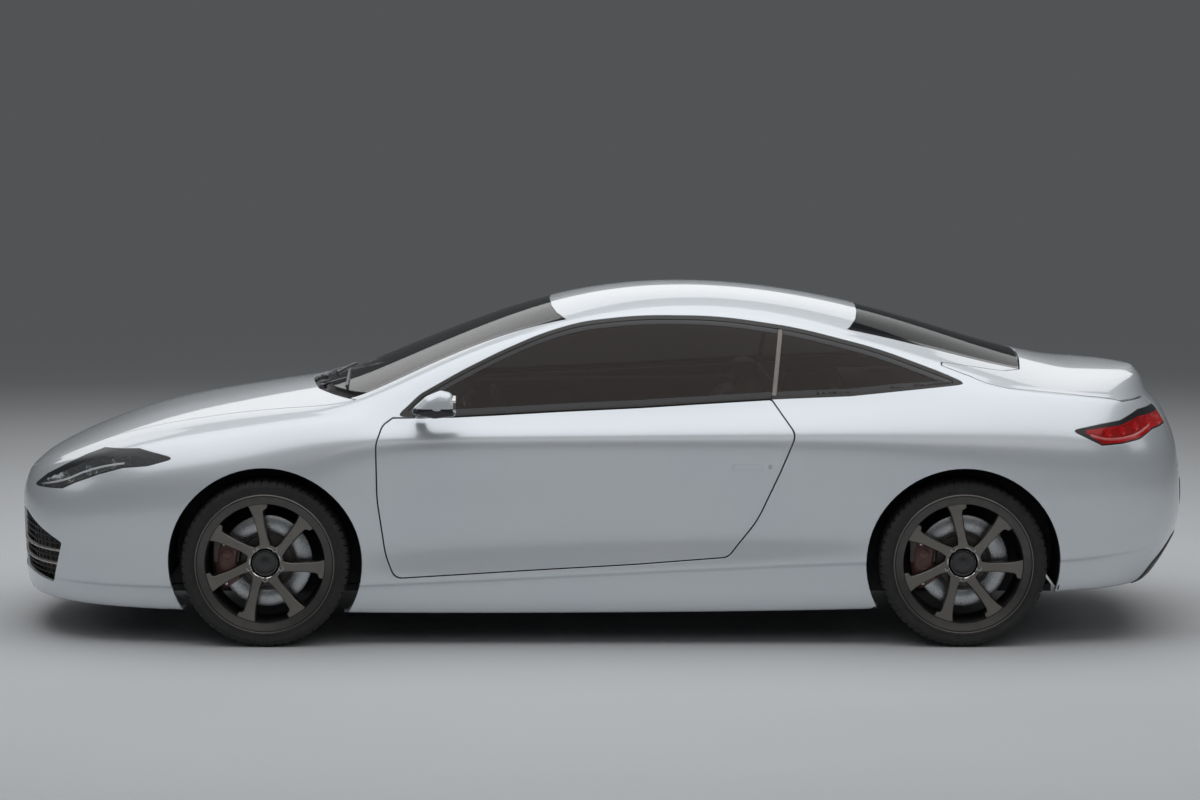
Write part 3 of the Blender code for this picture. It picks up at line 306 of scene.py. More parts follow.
def dense(points, step=0.012, closed=True):
    """Polyline with points added so that no run is longer than step."""
    points = np.asarray(points, float)
    ends = np.roll(points, -1, 0) if closed else points[1:]
    result = []
    for a, b in zip(points, ends):
        n = max(1, int(np.ceil(np.linalg.norm(b - a) / step)))
        result.extend(a + (b - a) * f for f in np.arange(n) / n)
    if not closed:
        result.append(points[-1])
    return np.array(result)


def inside(points, outline):
    """Which points (n, 2) lie in a closed outline."""
    x, y = points[:, 0], points[:, 1]
    result = np.zeros(len(points), bool)
    for (x0, y0), (x1, y1) in zip(outline, np.roll(outline, -1, 0)):
        crosses = (y0 > y) != (y1 > y)
        if y0 != y1:
            result ^= crosses & (x < (x1 - x0) * (y - y0) / (y1 - y0) + x0)
    return result


AXES = {"xz": [0, 2], "xy": [0, 1], "yz": [1, 2]}
ALLOWED_MISS = 6e-4


def locate(points, plane, s_range, t_range):
    """Stations and rows of points given in one view; points off the skin come back as nan."""
    axes = AXES[plane]
    s, t = np.meshgrid(np.linspace(*s_range, 200), np.linspace(*t_range, 90), indexing="ij")
    s, t = s.ravel(), t.ravel()
    cloud = surface(s, t)[:, axes]
    tree = kdtree.KDTree(len(cloud))
    for k, (a, b) in enumerate(cloud):
        tree.insert((a, b, 0), k)
    tree.balance()
    near = [tree.find((a, b, 0))[1] for a, b in points]
    s, t = s[near], t[near]
    e = 1e-3
    for _ in range(12):
        here = surface(s, t)[:, axes]
        ds = (surface(s + e, t)[:, axes] - surface(s - e, t)[:, axes]) / (2 * e)
        dt = (surface(s, t + e)[:, axes] - surface(s, t - e)[:, axes]) / (2 * e)
        miss = points - here
        det = ds[:, 0] * dt[:, 1] - ds[:, 1] * dt[:, 0]
        det = np.where(np.abs(det) < 1e-9, 1e-9, det)
        step_s = (miss[:, 0] * dt[:, 1] - miss[:, 1] * dt[:, 0]) / det
        step_t = (ds[:, 0] * miss[:, 1] - ds[:, 1] * miss[:, 0]) / det
        s = np.clip(s + np.clip(step_s, -.3, .3), s_range[0], s_range[1])
        t = np.clip(t + np.clip(step_t, -.3, .3), t_range[0], t_range[1])
    off = np.linalg.norm(surface(s, t)[:, axes] - points, axis=1) > ALLOWED_MISS
    s[off] = np.nan
    return np.stack([s, t], 1)


def halved(passed, low, high, passes=30):
    """Arrays low and high closed in on the place where passed turns true."""
    for _ in range(passes):
        middle = (low + high) / 2
        past = passed(middle)
        high, low = np.where(past, middle, high), np.where(past, low, middle)
    return low, high


def solve_row(height, s, low, high):
    """Row between low and high where height(s, row) changes sign, for each station."""
    low, high = halved(lambda row: height(s, row) > 0, np.full_like(s, low), np.full_like(s, high))
    return np.stack([s, (low + high) / 2], 1)


def solve_station(x, rows, start=5.0, stop=19.0, passes=34):
    """Station at which each row passes x."""
    ends = np.full_like(rows, start), np.full_like(rows, stop)
    low, _ = halved(lambda s: surface(s, rows)[:, 0] <= place(x), *ends, passes)
    return np.stack([low, rows], 1)


# The skin as one net of triangles in station and row, cut along every outline and seam
BONNET_SIDE = table(((0, 6.9), (1.2, 6.9), (2, 7.1), (3, 7.6), (4, 8.0), (30, 8.0)))
TOP_SIDE = 8.15
COWL_FRONT = table(((8.0, 8.75), (8.5, 8.35), (9.0, 8.0), (10, 7.8)))
ROOF_FRONT = table(((8.0, 12.06), (8.25, 12.0), (8.6, 11.92), (9.1, 11.87), (10, 11.85)))
ROOF_REAR = table(((8.0, 15.10), (8.3, 15.17), (8.7, 15.23), (9.2, 15.25), (10, 15.25)))
WINDOW_END = 17.35
SCREEN_OFFSET = 0.45
MESH_LENGTH, MESH_HEIGHT = 0.024, 0.019
FRIT = 0.035

MEAN_S = np.linalg.norm(np.diff(NET, axis=0), axis=2).mean(1)
MEAN_T = np.linalg.norm(np.diff(NET, axis=1), axis=2)[4:-4].mean(0)
KNOTS_U = np.concatenate([[0], np.cumsum(MEAN_S)])
KNOTS_V = np.concatenate([[0], np.cumsum(MEAN_T)])
STATIONS, ROWS = np.arange(LAST + 1), np.arange(CENTRE + 1)


def to_map(st):
    """Stations and rows turned into lengths along the skin."""
    return np.stack([np.interp(st[:, 0], STATIONS, KNOTS_U), np.interp(st[:, 1], ROWS, KNOTS_V)], 1)


def from_map(uv):
    """Lengths along the skin turned back into stations and rows."""
    return np.interp(uv[:, 0], KNOTS_U, STATIONS), np.interp(uv[:, 1], KNOTS_V, ROWS)


def side_shape(outline, grow=0.0):
    """Rounded outline in side view at the named sizes."""
    return rounded(stretched(outline, "xz"), grow)


def ring(x, radius, count=72):
    """Circle about a wheel's axis in side view."""
    angles = np.linspace(0, 2 * math.pi, count, endpoint=False)
    return np.stack([x + radius * np.sin(angles), WHEEL_Z + radius * np.cos(angles)], 1)


GLASS_EDGE = side_shape(GLASSHOUSE)
SEAL_EDGE = side_shape(GLASSHOUSE, -SEAL_WIDTH)
GLASS_FRIT = side_shape(GLASSHOUSE, -SEAL_WIDTH - .016)
DOOR_IN, DOOR_OUT = side_shape(DOOR, -SEAM / 2), side_shape(DOOR, SEAM / 2)
DOOR_CORE = side_shape(DOOR, -.034)
LAMP_EDGE, LAMP_BROW = side_shape(HEADLAMP), side_shape(LAMP_CLEAR)
TAIL_EDGE, TAIL_BROW = side_shape(TAIL_LAMP), side_shape(TAIL_CLEAR)
INTAKE_EDGE = side_shape(INTAKE)
RAIL_EDGE = side_shape(RAIL_ZONE)
DIFFUSER_EDGE, RECESS_EDGE = [rounded(stretched(outline, "yz")) for outline in (DIFFUSER, PLATE_RECESS)]
ARCHES = [ring(x, ARCH_RADIUS) for x in (X_FRONT, X_REAR)]
LID_TOP = stretched(LID_PLAN, "xy")
LID_TOP += [(x, -y, r) for x, y, r in reversed(LID_TOP)]
LID_REAR = stretched(LID_BACK, "yz")
LID_REAR += [(-y, z, r) for y, z, r in reversed(LID_REAR)]
LID_IN, LID_OUT = [rounded(LID_TOP, g) for g in (-SEAM / 2, SEAM / 2)]
LID_BACK_IN, LID_BACK_OUT = [rounded(LID_REAR, g) for g in (-SEAM / 2, SEAM / 2)]


def split_x(z, shift=0.0):
    """Where the door glass ends and the quarter glass begins, at a height."""
    (x0, z0), (x1, z1) = SPLIT_LOW, SPLIT_HIGH
    return x0 + (x1 - x0) * (z - z0) / (z1 - z0) + shift


def map_lines():
    """Polylines in (s, t) along which the net is cut."""
    lines = []

    def add(points, closed=True):
        """Keep a line, split where points are missing or far apart."""
        bad = np.isnan(points[:, 0])
        if closed and not bad.any():
            points = np.concatenate([points, points[:1]])
            bad = np.zeros(len(points), bool)
        run = []
        for point, skip in zip(points, bad):
            if skip or (run and abs(point[0] - run[-1][0]) + abs(point[1] - run[-1][1]) > 1.2):
                if len(run) > 1:
                    lines.append(np.array(run))
                run = [] if skip else [point]
            else:
                run.append(point)
        if len(run) > 1:
            lines.append(np.array(run))

    def from_side(outline, s_range, t_range, step=0.012):
        """Add a side-view outline."""
        add(locate(dense(outline, step), "xz", s_range, t_range))

    for outline in (GLASS_EDGE, SEAL_EDGE, GLASS_FRIT):
        from_side(outline, (8, 19), (5, 9.2))
    for outline in (DOOR_IN, DOOR_OUT, DOOR_CORE):
        from_side(outline, (7.5, 17), (1.2, 7))
    for outline in (LAMP_EDGE, LAMP_BROW):
        from_side(outline, (.6, 7), (3.6, 9), .008)
    for outline in (TAIL_EDGE, TAIL_BROW):
        from_side(outline, (17.5, 23), (4, 8), .008)
    for outline in ARCHES:
        from_side(outline, (4.5, 20), (0, 5))
    from_side(INTAKE_EDGE, (.3, 5), (.5, 5.5), .008)
    from_side(RAIL_EDGE, (7, 20), (5.4, 9.4))
    for outline in (DIFFUSER_EDGE, RECESS_EDGE):
        add(locate(dense(outline, .012), "yz", (19.5, LAST), (.5, 6)))
    z = np.linspace(.90, 1.02, 20)
    add(locate(np.stack([np.full(20, SAIL_X), z], 1), "xz", (8, 13), (5, 9)), False)
    z = np.linspace(.93, 1.32, 40)
    for shift in (0, -SPLIT_WIDTH):
        add(locate(np.stack([split_x(z, shift), z], 1), "xz", (12, 17), (5, 9)), False)

    # Level and upright borders between the fixed panels
    add(solve_station(BUMPER_X, np.linspace(0, 8.4, 120), 2, 8, 30), False)
    for z, s0, s1 in ((SILL_TOP, 7, 11), (REAR_SILL_TOP, 14.5, 21), (TAIL_TOP, 17.5, LAST)):
        add(solve_row(lambda s, t: surface(s, t)[:, 2] - z, np.linspace(s0, s1, 160), .5, 6), False)
    for x, t0, t1 in ((X_FRONT, 0, 3.2), (DOOR_START, 1, 6), (X_REAR, 0, 3.2), (REAR_BUMPER_X, 1.5, 5.2),
                      (RAIL_START, 5, 8.4)):
        add(solve_station(x, np.linspace(t0, t1, 70)), False)

    # Intake top and bottom run on towards the middle, where the side view is edge on
    for (x0, z0), (x1, z1) in (((2.40, .500), (2.285, .485)), ((2.40, .25), (2.278, .245))):
        rise = (z1 - z0) / (x1 - x0)
        add(solve_row(lambda s, t: surface(s, t)[:, 2] - z0 - rise * (surface(s, t)[:, 0] - x0),
                      np.linspace(.3, 2.6, 60), .8, 5.6), False)
    rows = np.linspace(.8, 5.6, 70)
    low, _ = halved(lambda s: surface(s, rows)[:, 1] > INTAKE_PILLAR, np.zeros_like(rows),
                    np.full_like(rows, 2.0))
    add(np.stack([low, rows], 1), False)

    # Boot lid: plan outline over the deck, back outline down the tail
    for flat, back in ((LID_IN, LID_BACK_IN), (LID_OUT, LID_BACK_OUT)):
        add(locate(dense(flat, .008), "xy", (15.5, LAST), (5.3, CENTRE)))
        add(locate(dense(back, .008), "yz", (19.5, LAST), (3, 9.5)))
        z = back[:, 1].min()
        add(solve_row(lambda s, t: surface(s, t)[:, 2] - z, np.linspace(21, LAST, 60), 3, 6), False)

    # Sill crease
    s = np.linspace(2.3, 20.7, 420)
    for row in (SILL_ROW, SILL_ROW - SILL_STEP_ROWS / 2, SILL_ROW - SILL_STEP_ROWS):
        add(np.stack([s, np.full_like(s, row)], 1), False)

    # Bonnet edge, cowl and screens
    s = np.linspace(0, 9.2, 260)
    for side in (-1, 1):
        row = BONNET_SIDE(s)
        add(np.stack([s, row + side * SEAM / 2 / per_row(s, row)], 1), False)
    t = np.linspace(7.9, CENTRE, 90)
    for offset, gaps in ((0, (-1, 1)), (SCREEN_OFFSET, (0,))):
        for side in gaps:
            station = COWL_FRONT(t) + offset
            add(np.stack([station + side * SEAM / 2 / per_station(station, t), t], 1), False)
    s = np.linspace(8.0, WINDOW_END, 220)
    add(np.stack([s, np.full_like(s, TOP_SIDE)], 1), False)
    add(np.stack([s, TOP_SIDE + FRIT / per_row(s, np.full_like(s, TOP_SIDE + .1))], 1), False)
    t = np.linspace(TOP_SIDE - .3, CENTRE, 60)
    for station in (ROOF_FRONT(t), ROOF_REAR(t), np.full_like(t, WINDOW_END)):
        add(np.stack([station, t], 1), False)
    return lines


def make_net():
    """Vertices (s, t) and triangles of the net."""
    lines = [to_map(line) for line in map_lines()]
    points, edges = [], []
    tree = kdtree.KDTree(sum(len(line) for line in lines))
    for line in lines:
        start = len(points)
        for k, (u, v) in enumerate(line):
            tree.insert((u, v, 0), start + k)
            points.append((u, v))
        edges += [(start + k, start + k + 1) for k in range(len(line) - 1)]
    tree.balance()
    us = np.linspace(0, KNOTS_U[-1], int(KNOTS_U[-1] / MESH_LENGTH) + 1)
    vs = np.linspace(0, KNOTS_V[-1], int(KNOTS_V[-1] / MESH_HEIGHT) + 1)
    for i, u in enumerate(us):
        for j, v in enumerate(vs):
            border = i in (0, len(us) - 1) or j in (0, len(vs) - 1)
            if border or tree.find((u, v, 0))[2] > .32 * MESH_HEIGHT:
                points.append((u, v))
    made = geometry.delaunay_2d_cdt([Vector(p) for p in points], edges, [], 0, 1e-5, False)
    uv = np.array([tuple(p) for p in made[0]])
    triangles = np.array([face for face in made[2] if len(face) == 3])
    a, b, c = (uv[triangles[:, k]] for k in range(3))
    turn = (b[:, 0] - a[:, 0]) * (c[:, 1] - a[:, 1]) - (b[:, 1] - a[:, 1]) * (c[:, 0] - a[:, 0])
    triangles[turn < 0] = triangles[turn < 0][:, ::-1]
    s, t = from_map(uv)
    return s, t, triangles[np.abs(turn) > 1e-9]


NET_S, NET_T, TRIANGLES = make_net()
POINTS, NORMALS = surface(NET_S, NET_T), outward(NET_S, NET_T)
MIDDLE = (NET_S < 1e-6) | (NET_S > LAST - 1e-6) | (NET_T > CENTRE - 1e-6)
POINTS[MIDDLE, 1] = 0
NORMALS[MIDDLE, 1] = 0
NORMALS /= np.linalg.norm(NORMALS, axis=1, keepdims=True)


def label_triangles():
    """Name of the panel that each triangle of the net belongs to."""
    uv = to_map(np.stack([NET_S, NET_T], 1))[TRIANGLES].mean(1)
    s, t = from_map(uv)
    p = surface(s, t)
    side, plan, back = p[:, [0, 2]], p[:, [0, 1]], p[:, [1, 2]]
    x, y, z = p.T
    names = np.full(len(s), "none", dtype="U20")
    free = np.ones(len(s), bool)

    def claim(name, where):
        """Name the triangles that have no name yet."""
        where = where & free
        names[where] = name
        free[where] = False

    for outline in ARCHES:
        claim("open", inside(side, outline) & (y > .4))
    claim("open", inside(side, INTAKE_EDGE) & (y > INTAKE_PILLAR) & (s < 6))
    half = SEAM / 2
    above = (t - BONNET_SIDE(s)) * per_row(s, BONNET_SIDE(s))
    ahead = (COWL_FRONT(t) - s) * per_station(COWL_FRONT(t), t)
    front = (s < 9.2) & (t > 6)
    claim("bonnet", front & (above > half) & (ahead > half))
    claim("open", front & (above > -half) & (ahead > -half))
    claim("lamp_brow", inside(side, LAMP_EDGE) & ~inside(side, LAMP_BROW) & (s < 7))
    claim("headlamp", inside(side, LAMP_EDGE) & (s < 7))
    screen_start = COWL_FRONT(t) + SCREEN_OFFSET
    top = t > TOP_SIDE
    border = (t - TOP_SIDE) * per_row(s, t) < FRIT
    claim("open", top & (s > COWL_FRONT(t)) & (s < screen_start))
    claim("windscreen_frit", top & (s > screen_start) & (s < ROOF_FRONT(t)) & border)
    claim("windscreen", top & (s > screen_start) & (s < ROOF_FRONT(t)))
    claim("roof", top & (s > ROOF_FRONT(t)) & (s < ROOF_REAR(t)))
    claim("rear_window_frit", top & (s > ROOF_REAR(t)) & (s < WINDOW_END) & border)
    claim("rear_window", top & (s > ROOF_REAR(t)) & (s < WINDOW_END))
    tail = s > 15.5
    claim("boot_lid", tail & inside(plan, LID_IN) & inside(back, LID_BACK_IN))
    claim("open", tail & inside(plan, LID_OUT) & inside(back, LID_BACK_OUT))
    rear = s > 17
    claim("tail_brow", rear & inside(side, TAIL_EDGE) & ~inside(side, TAIL_BROW) & (y > .3))
    claim("tail_lamp", rear & inside(side, TAIL_EDGE) & (y > .3))
    claim("door_core", inside(side, DOOR_CORE) & (t < 7) & (s > 7))
    claim("door", inside(side, DOOR_IN) & (t < 7) & (s > 7))
    claim("open", inside(side, DOOR_OUT) & (t < 7) & (s > 7))
    house = inside(side, GLASS_EDGE) & (s > 7.5)
    in_door = x > split_x(z)
    belt = np.interp(x, *np.array([p[:2] for p in sorted(GLASSHOUSE[11:])]).T) + SEAL_WIDTH + .004
    claim("belt_seal", house & ~inside(side, SEAL_EDGE) & in_door & (z < belt) & (x < .70))
    claim("seal", house & ~inside(side, SEAL_EDGE))
    claim("split_trim", house & ~in_door & (x > split_x(z, -SPLIT_WIDTH)))
    claim("door_glass_frit", house & in_door & (x > SAIL_X))
    claim("door_glass_frit", house & in_door & ~inside(side, GLASS_FRIT) & (z > belt))
    claim("door_glass", house & in_door)
    claim("quarter_glass_frit", house & ~inside(side, GLASS_FRIT) & (z > belt))
    claim("quarter_glass", house)
    bumper_x = float(place(BUMPER_X))
    claim("front_bumper", x > bumper_x)
    low_tail = (x < place(LOW_TAIL_X)) & (z < TAIL_TOP)
    claim("diffuser", low_tail & inside(back, DIFFUSER_EDGE))
    claim("plate_recess", low_tail & inside(back, RECESS_EDGE))
    claim("rear_bumper", (x < place(REAR_BUMPER_X)) & (z < TAIL_TOP))
    claim("sill", (z < SILL_TOP) & (x < X_FRONT) & (x > X_REAR))
    claim("sill", (z < REAR_SILL_TOP) & (x < place(DOOR_START)) & (x > X_REAR))
    claim("roof_rail", inside(side, RAIL_EDGE) & (t > 5.4))
    claim("rear_wing", x < -.3)
    claim("front_wing", x > .3)
    claim("roof_rail", t > 5.4)
    return names


LABELS = label_triangles()


# Panels of the net as meshes
def new_object(name, verts, faces, materials=(), slots=None, normals=None, smooth=True):
    """Mesh object from arrays; slots gives each face's material, normals each vertex's."""
    mesh = bpy.data.meshes.new(name)
    mesh.from_pydata([tuple(v) for v in np.asarray(verts, float)], [], [list(map(int, f)) for f in faces])
    for material in materials:
        mesh.materials.append(material)
    if slots is not None:
        mesh.polygons.foreach_set("material_index", np.asarray(slots, np.int32))
    mesh.polygons.foreach_set("use_smooth", [smooth] * len(mesh.polygons))
    mesh.update()
    if normals is not None:
        mesh.normals_split_custom_set_from_vertices([tuple(n) for n in np.asarray(normals, float)])
    obj = bpy.data.objects.new(name, mesh)
    bpy.context.scene.collection.objects.link(obj)
    return obj


def dress(obj, body, slot, *nodes):
    """Let a piece ride on a body and hide the CAD nodes that it stands for; slot is not used."""
    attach(obj, body)
    if nodes:
        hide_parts(*nodes)
    return obj


class Cutout:
    """Triangles of the net with some labels, and the frame of their free edges."""

    def __init__(self, labels):
        self.chosen = np.isin(LABELS, labels)
        self.triangles = TRIANGLES[self.chosen]
        self.labels = LABELS[self.chosen]
        edges = {}
        for k, (a, b, c) in enumerate(self.triangles):
            for edge in ((a, b), (b, c), (c, a)):
                edges[edge] = k
        self.free = [(a, b, k) for (a, b), k in edges.items()
                     if (b, a) not in edges and not (MIDDLE[a] and MIDDLE[b])]
        self.inward = {}
        for a, b, _ in self.free:
            along = POINTS[b] - POINTS[a]
            for v in (a, b):
                step = np.cross(NORMALS[v], along)
                size = np.linalg.norm(step)
                if size > 1e-12:
                    self.inward.setdefault(v, []).append(step / size)
        for v, steps in self.inward.items():
            total = np.sum(steps, axis=0)
            total /= max(np.linalg.norm(total), 1e-9)
            if MIDDLE[v]:
                total[1] = 0
            reach = 1 / max(min(float(total @ s) for s in steps), .5)
            self.inward[v] = (total, reach)


ROLL_STEPS = ((0.0, 0.0), (.29, .71), (1.0, 1.0))


def panel(name, materials, cutout=None, near=0.0, roll=ROLL, flange=FLANGE, both=False, back=None):
    """Skin panel with rolled edges and an inward flange; back adds a closing face at that depth.

    materials maps each label of the panel to its material.
    """
    cutout = cutout or Cutout(list(materials))
    kinds = list(dict.fromkeys(materials.values()))
    pick = np.isin(cutout.labels, list(materials))
    triangles, tags = cutout.triangles[pick], cutout.labels[pick]
    owned = set(np.flatnonzero(pick).tolist())
    verts, normals, faces, slots, index = [], [], [], [], {}

    def vertex(key, point, normal):
        """Index of a vertex, made at its first use."""
        if key not in index:
            index[key] = len(verts)
            verts.append(point)
            normals.append(normal)
        return index[key]

    def skin_vertex(v):
        """Vertex of the face, drawn in by the roll at a free edge."""
        point = POINTS[v] - NORMALS[v] * near
        if v in cutout.inward:
            step, reach = cutout.inward[v]
            point = point + step * roll * reach
        return vertex((v, 0), point, NORMALS[v])

    def edge_vertex(v, ring_index):
        """Vertex of one ring down the rolled edge and the flange."""
        step, reach = cutout.inward[v]
        base, n = POINTS[v] - NORMALS[v] * near, NORMALS[v]
        if ring_index < len(ROLL_STEPS):
            out, down = ROLL_STEPS[ring_index]
            point = base + step * roll * reach * (1 - down) - n * roll * out
            normal = n * (1 - down * down) ** .5 - step * down
        else:
            point, normal = base - n * flange, -step
        return vertex((v, ring_index), point, normal / max(np.linalg.norm(normal), 1e-9))

    for (a, b, c), tag in zip(triangles, tags):
        faces.append([skin_vertex(a), skin_vertex(b), skin_vertex(c)])
        slots.append(kinds.index(materials[tag]))
    last_ring = len(ROLL_STEPS)
    for a, b, k in cutout.free:
        if k not in owned:
            continue
        slot_index = kinds.index(materials[cutout.labels[k]])
        line_a = [skin_vertex(a)] + [edge_vertex(a, r) for r in range(1, last_ring + 1)]
        line_b = [skin_vertex(b)] + [edge_vertex(b, r) for r in range(1, last_ring + 1)]
        for r in range(len(line_a) - 1):
            faces.append([line_b[r], line_a[r], line_a[r + 1], line_b[r + 1]])
            slots.append(slot_index)
    if back:
        for (a, b, c), tag in zip(triangles, tags):
            loop = []
            for v in (c, b, a):
                kind, depth = ("rim", flange) if v in cutout.inward else ("back", back)
                loop.append(vertex((v, kind), POINTS[v] - NORMALS[v] * (near + depth), -NORMALS[v]))
            faces.append(loop)
            slots.append(kinds.index(materials[tag]))
    verts, normals = np.array(verts), np.array(normals)
    if both:
        count = len(verts)
        faces = faces + [[v + count for v in reversed(face)] for face in faces]
        verts, normals = np.concatenate([verts, verts * FLIP]), np.concatenate([normals, normals * FLIP])
        slots = slots + slots
        verts, normals, faces, slots = welded(verts, normals, faces, slots)
    return new_object(name, verts, faces, kinds, slots, normals)


def welded(verts, normals, faces, slots):
    """Mirror copies joined where they meet on the middle line."""
    near = np.abs(verts[:, 1]) < 1e-7
    target = np.arange(len(verts))
    seen = {}
    for v in np.flatnonzero(near):
        key = tuple(np.round(verts[v], 6)) + tuple(np.round(normals[v] * [1, 0, 1], 2))
        target[v] = seen.setdefault(key, v)
    keep = np.unique(target)
    renumber = np.zeros(len(verts), int)
    renumber[keep] = np.arange(len(keep))
    new_faces, new_slots = [], []
    for face, slot_index in zip(faces, slots):
        loop = list(dict.fromkeys(int(renumber[target[v]]) for v in face))
        if len(loop) > 2:
            new_faces.append(loop)
            new_slots.append(slot_index)
    return verts[keep], normals[keep], new_faces, new_slots


def mirror_of(obj, name):
    """Mirror copy across the middle, with its normals kept."""
    mesh = obj.data
    verts = np.array([v.co for v in mesh.vertices]) * FLIP
    loops = np.zeros(len(mesh.loops) * 3)
    mesh.corner_normals.foreach_get("vector", loops)
    loops = loops.reshape(-1, 3) * FLIP
    faces, slots, corner = [], [], []
    for polygon in mesh.polygons:
        order = list(polygon.loop_indices)[::-1]
        faces.append([mesh.loops[k].vertex_index for k in order])
        corner.extend(loops[k] for k in order)
        slots.append(polygon.material_index)
    copy = bpy.data.meshes.new(name)
    copy.from_pydata([tuple(v) for v in verts], [], faces)
    for material in mesh.materials:
        copy.materials.append(material)
    copy.polygons.foreach_set("material_index", np.array(slots, np.int32))
    smooth = np.zeros(len(mesh.polygons), bool)
    mesh.polygons.foreach_get("use_smooth", smooth)
    copy.polygons.foreach_set("use_smooth", smooth)
    copy.update()
    copy.normals_split_custom_set([tuple(n) for n in corner])
    twin = bpy.data.objects.new(name, copy)
    bpy.context.scene.collection.objects.link(twin)
    return twin


def pair(obj, body, slot_name, *nodes):
    """Dress a left piece and its mirror; body and nodes without _left or _right when they have one."""
    sided = body in ("door", "front_wheel", "rear_wheel", "knuckle")
    twin = mirror_of(obj, obj.name + "_right")
    obj.name += "_left"
    for piece, side in ((obj, "_left"), (twin, "_right")):
        dress(piece, body + side if sided else body, slot_name, *[n + side for n in nodes])
    return obj, twin


# Materials: each is a Principled shader fed by noise at the real scale
def shader(name, color, roughness=.5, metallic=0.0, **inputs):
    """New material; returns it with its node tree, its Principled node and its object coordinates."""
    material = bpy.data.materials.new(name)
    material.use_nodes = True
    tree = material.node_tree
    node = tree.nodes["Principled BSDF"]
    node.inputs["Base Color"].default_value = (*color, 1)
    node.inputs["Roughness"].default_value = roughness
    node.inputs["Metallic"].default_value = metallic
    for key, value in inputs.items():
        node.inputs[key.replace("_", " ")].default_value = value
    coordinates = tree.nodes.new("ShaderNodeTexCoord").outputs["Object"]
    return material, tree, node, coordinates


def noise(tree, coordinates, scale, detail=4.0, kind="ShaderNodeTexNoise", output=0):
    """Output of a noise texture."""
    node = tree.nodes.new(kind)
    node.inputs["Scale"].default_value = scale
    if "Detail" in node.inputs:
        node.inputs["Detail"].default_value = detail
    tree.links.new(coordinates, node.inputs["Vector"])
    return node.outputs[output]


def ramp(tree, value, low, high, start=.3, stop=.7):
    """Value from start to stop turned into colours or greys from low to high."""
    node = tree.nodes.new("ShaderNodeValToRGB")
    node.color_ramp.elements[0].position = start
    node.color_ramp.elements[1].position = stop
    for element, color in zip(node.color_ramp.elements, (low, high)):
        element.color = (*color, 1) if isinstance(color, tuple) else (color, color, color, 1)
    tree.links.new(value, node.inputs["Fac"])
    return node.outputs["Color"]


def bump(tree, node, height, strength, distance):
    """Relief from a height, put on a shader's normal."""
    made = tree.nodes.new("ShaderNodeBump")
    made.inputs["Strength"].default_value = strength
    made.inputs["Distance"].default_value = distance
    tree.links.new(height, made.inputs["Height"])
    tree.links.new(made.outputs["Normal"], node.inputs["Normal"])


def varied(name, color, other, roughness, spread, scale, metallic=0.0, grain=0.0, grain_scale=900.0,
           **inputs):
    """Surface whose colour drifts between two values and whose roughness and relief vary."""
    material, tree, node, where = shader(name, color, roughness, metallic, **inputs)
    drift = noise(tree, where, scale)
    tree.links.new(ramp(tree, drift, color, other), node.inputs["Base Color"])
    tree.links.new(ramp(tree, noise(tree, where, scale * 3.1), roughness - spread, roughness + spread),
                   node.inputs["Roughness"])
    if grain:
        bump(tree, node, noise(tree, where, grain_scale, 2.0), .5, grain)
    return material


def paint():
    """Pearl paint: fine flakes under a clear coat."""
    material, tree, node, where = shader(
        "pearl_paint", (.78, .815, .85), .34, .42, Coat_Weight=1.0, Coat_Roughness=.035, Coat_IOR=1.5)
    flakes = noise(tree, where, 2600.0, 0.0, "ShaderNodeTexVoronoi", "Color")
    tone = noise(tree, where, 2.2, 2.0)
    mix = tree.nodes.new("ShaderNodeMix")
    mix.data_type = "RGBA"
    mix.inputs["Factor"].default_value = .10
    tree.links.new(ramp(tree, tone, (.735, .780, .822), (.765, .800, .835)), mix.inputs["A"])
    tree.links.new(ramp(tree, flakes, .55, 1.0, 0, 1), mix.inputs["B"])
    tree.links.new(mix.outputs["Result"], node.inputs["Base Color"])
    tree.links.new(ramp(tree, flakes, .28, .40, 0, 1), node.inputs["Roughness"])
    return material


def glass(name, tint, cover, roughness=0.02, gloss=.5):
    """Tinted pane: cover is the share of light that its tint holds back at each face."""
    material, tree, node, where = shader(name, tint, roughness, 0.0, IOR=1.5, Specular_IOR_Level=gloss,
                                         Alpha=cover)
    other = tuple(c * .85 for c in tint)
    tree.links.new(ramp(tree, noise(tree, where, 1.5), tint, other), node.inputs["Base Color"])
    return material


PAINT = paint()
BLACK_TRIM = varied("black_trim", (.012, .012, .013), (.018, .018, .019), .30, .06, 40, Coat_Weight=.3)
RUBBER_SEAL = varied("rubber_seal", (.020, .018, .017), (.030, .027, .025), .55, .06, 60, grain=.0002)
# Split moulding between the door glass and the quarter glass: trim whose lighter brown colour is partly a
# painted edge highlight
TRIM_PAINTED_HIGHLIGHT = varied("trim_painted_highlight", (.16, .145, .135), (.20, .185, .17), .34, .05, 30, .6)
SCREEN_GLASS = glass("screen_glass", (.020, .022, .024), .62, gloss=.6)
REAR_GLASS = glass("rear_glass", (.016, .017, .019), .72, gloss=.05)
SIDE_GLASS = glass("side_glass", (.034, .022, .017), .46, gloss=.32)
LENS = glass("lamp_lens", (.80, .82, .84), .10, gloss=.75)
RED_LENS = glass("red_lens", (.86, .020, .022), .42, gloss=.6)
FRIT_BLACK = varied("glass_border", (.010, .010, .011), (.014, .014, .015), .06, .01, 30)
SATIN_BLACK = varied("moulded_black", (.022, .021, .021), (.032, .030, .030), .52, .08, 25, grain=.0003,
                     grain_scale=1400)
STRUCTURE = varied("structure_paint", (.030, .031, .034), (.045, .045, .048), .60, .10, 9, grain=.0004)
CAST = varied("cast_metal", (.11, .10, .095), (.17, .155, .145), .55, .12, 18, .8, grain=.0008,
              grain_scale=260)
STEEL = varied("machined_steel", (.48, .49, .50), (.60, .60, .61), .28, .08, 30, 1.0)
TYRE_RUBBER = varied("tyre_rubber", (.016, .016, .016), (.026, .025, .024), .72, .08, 22, grain=.0005,
                     grain_scale=700)
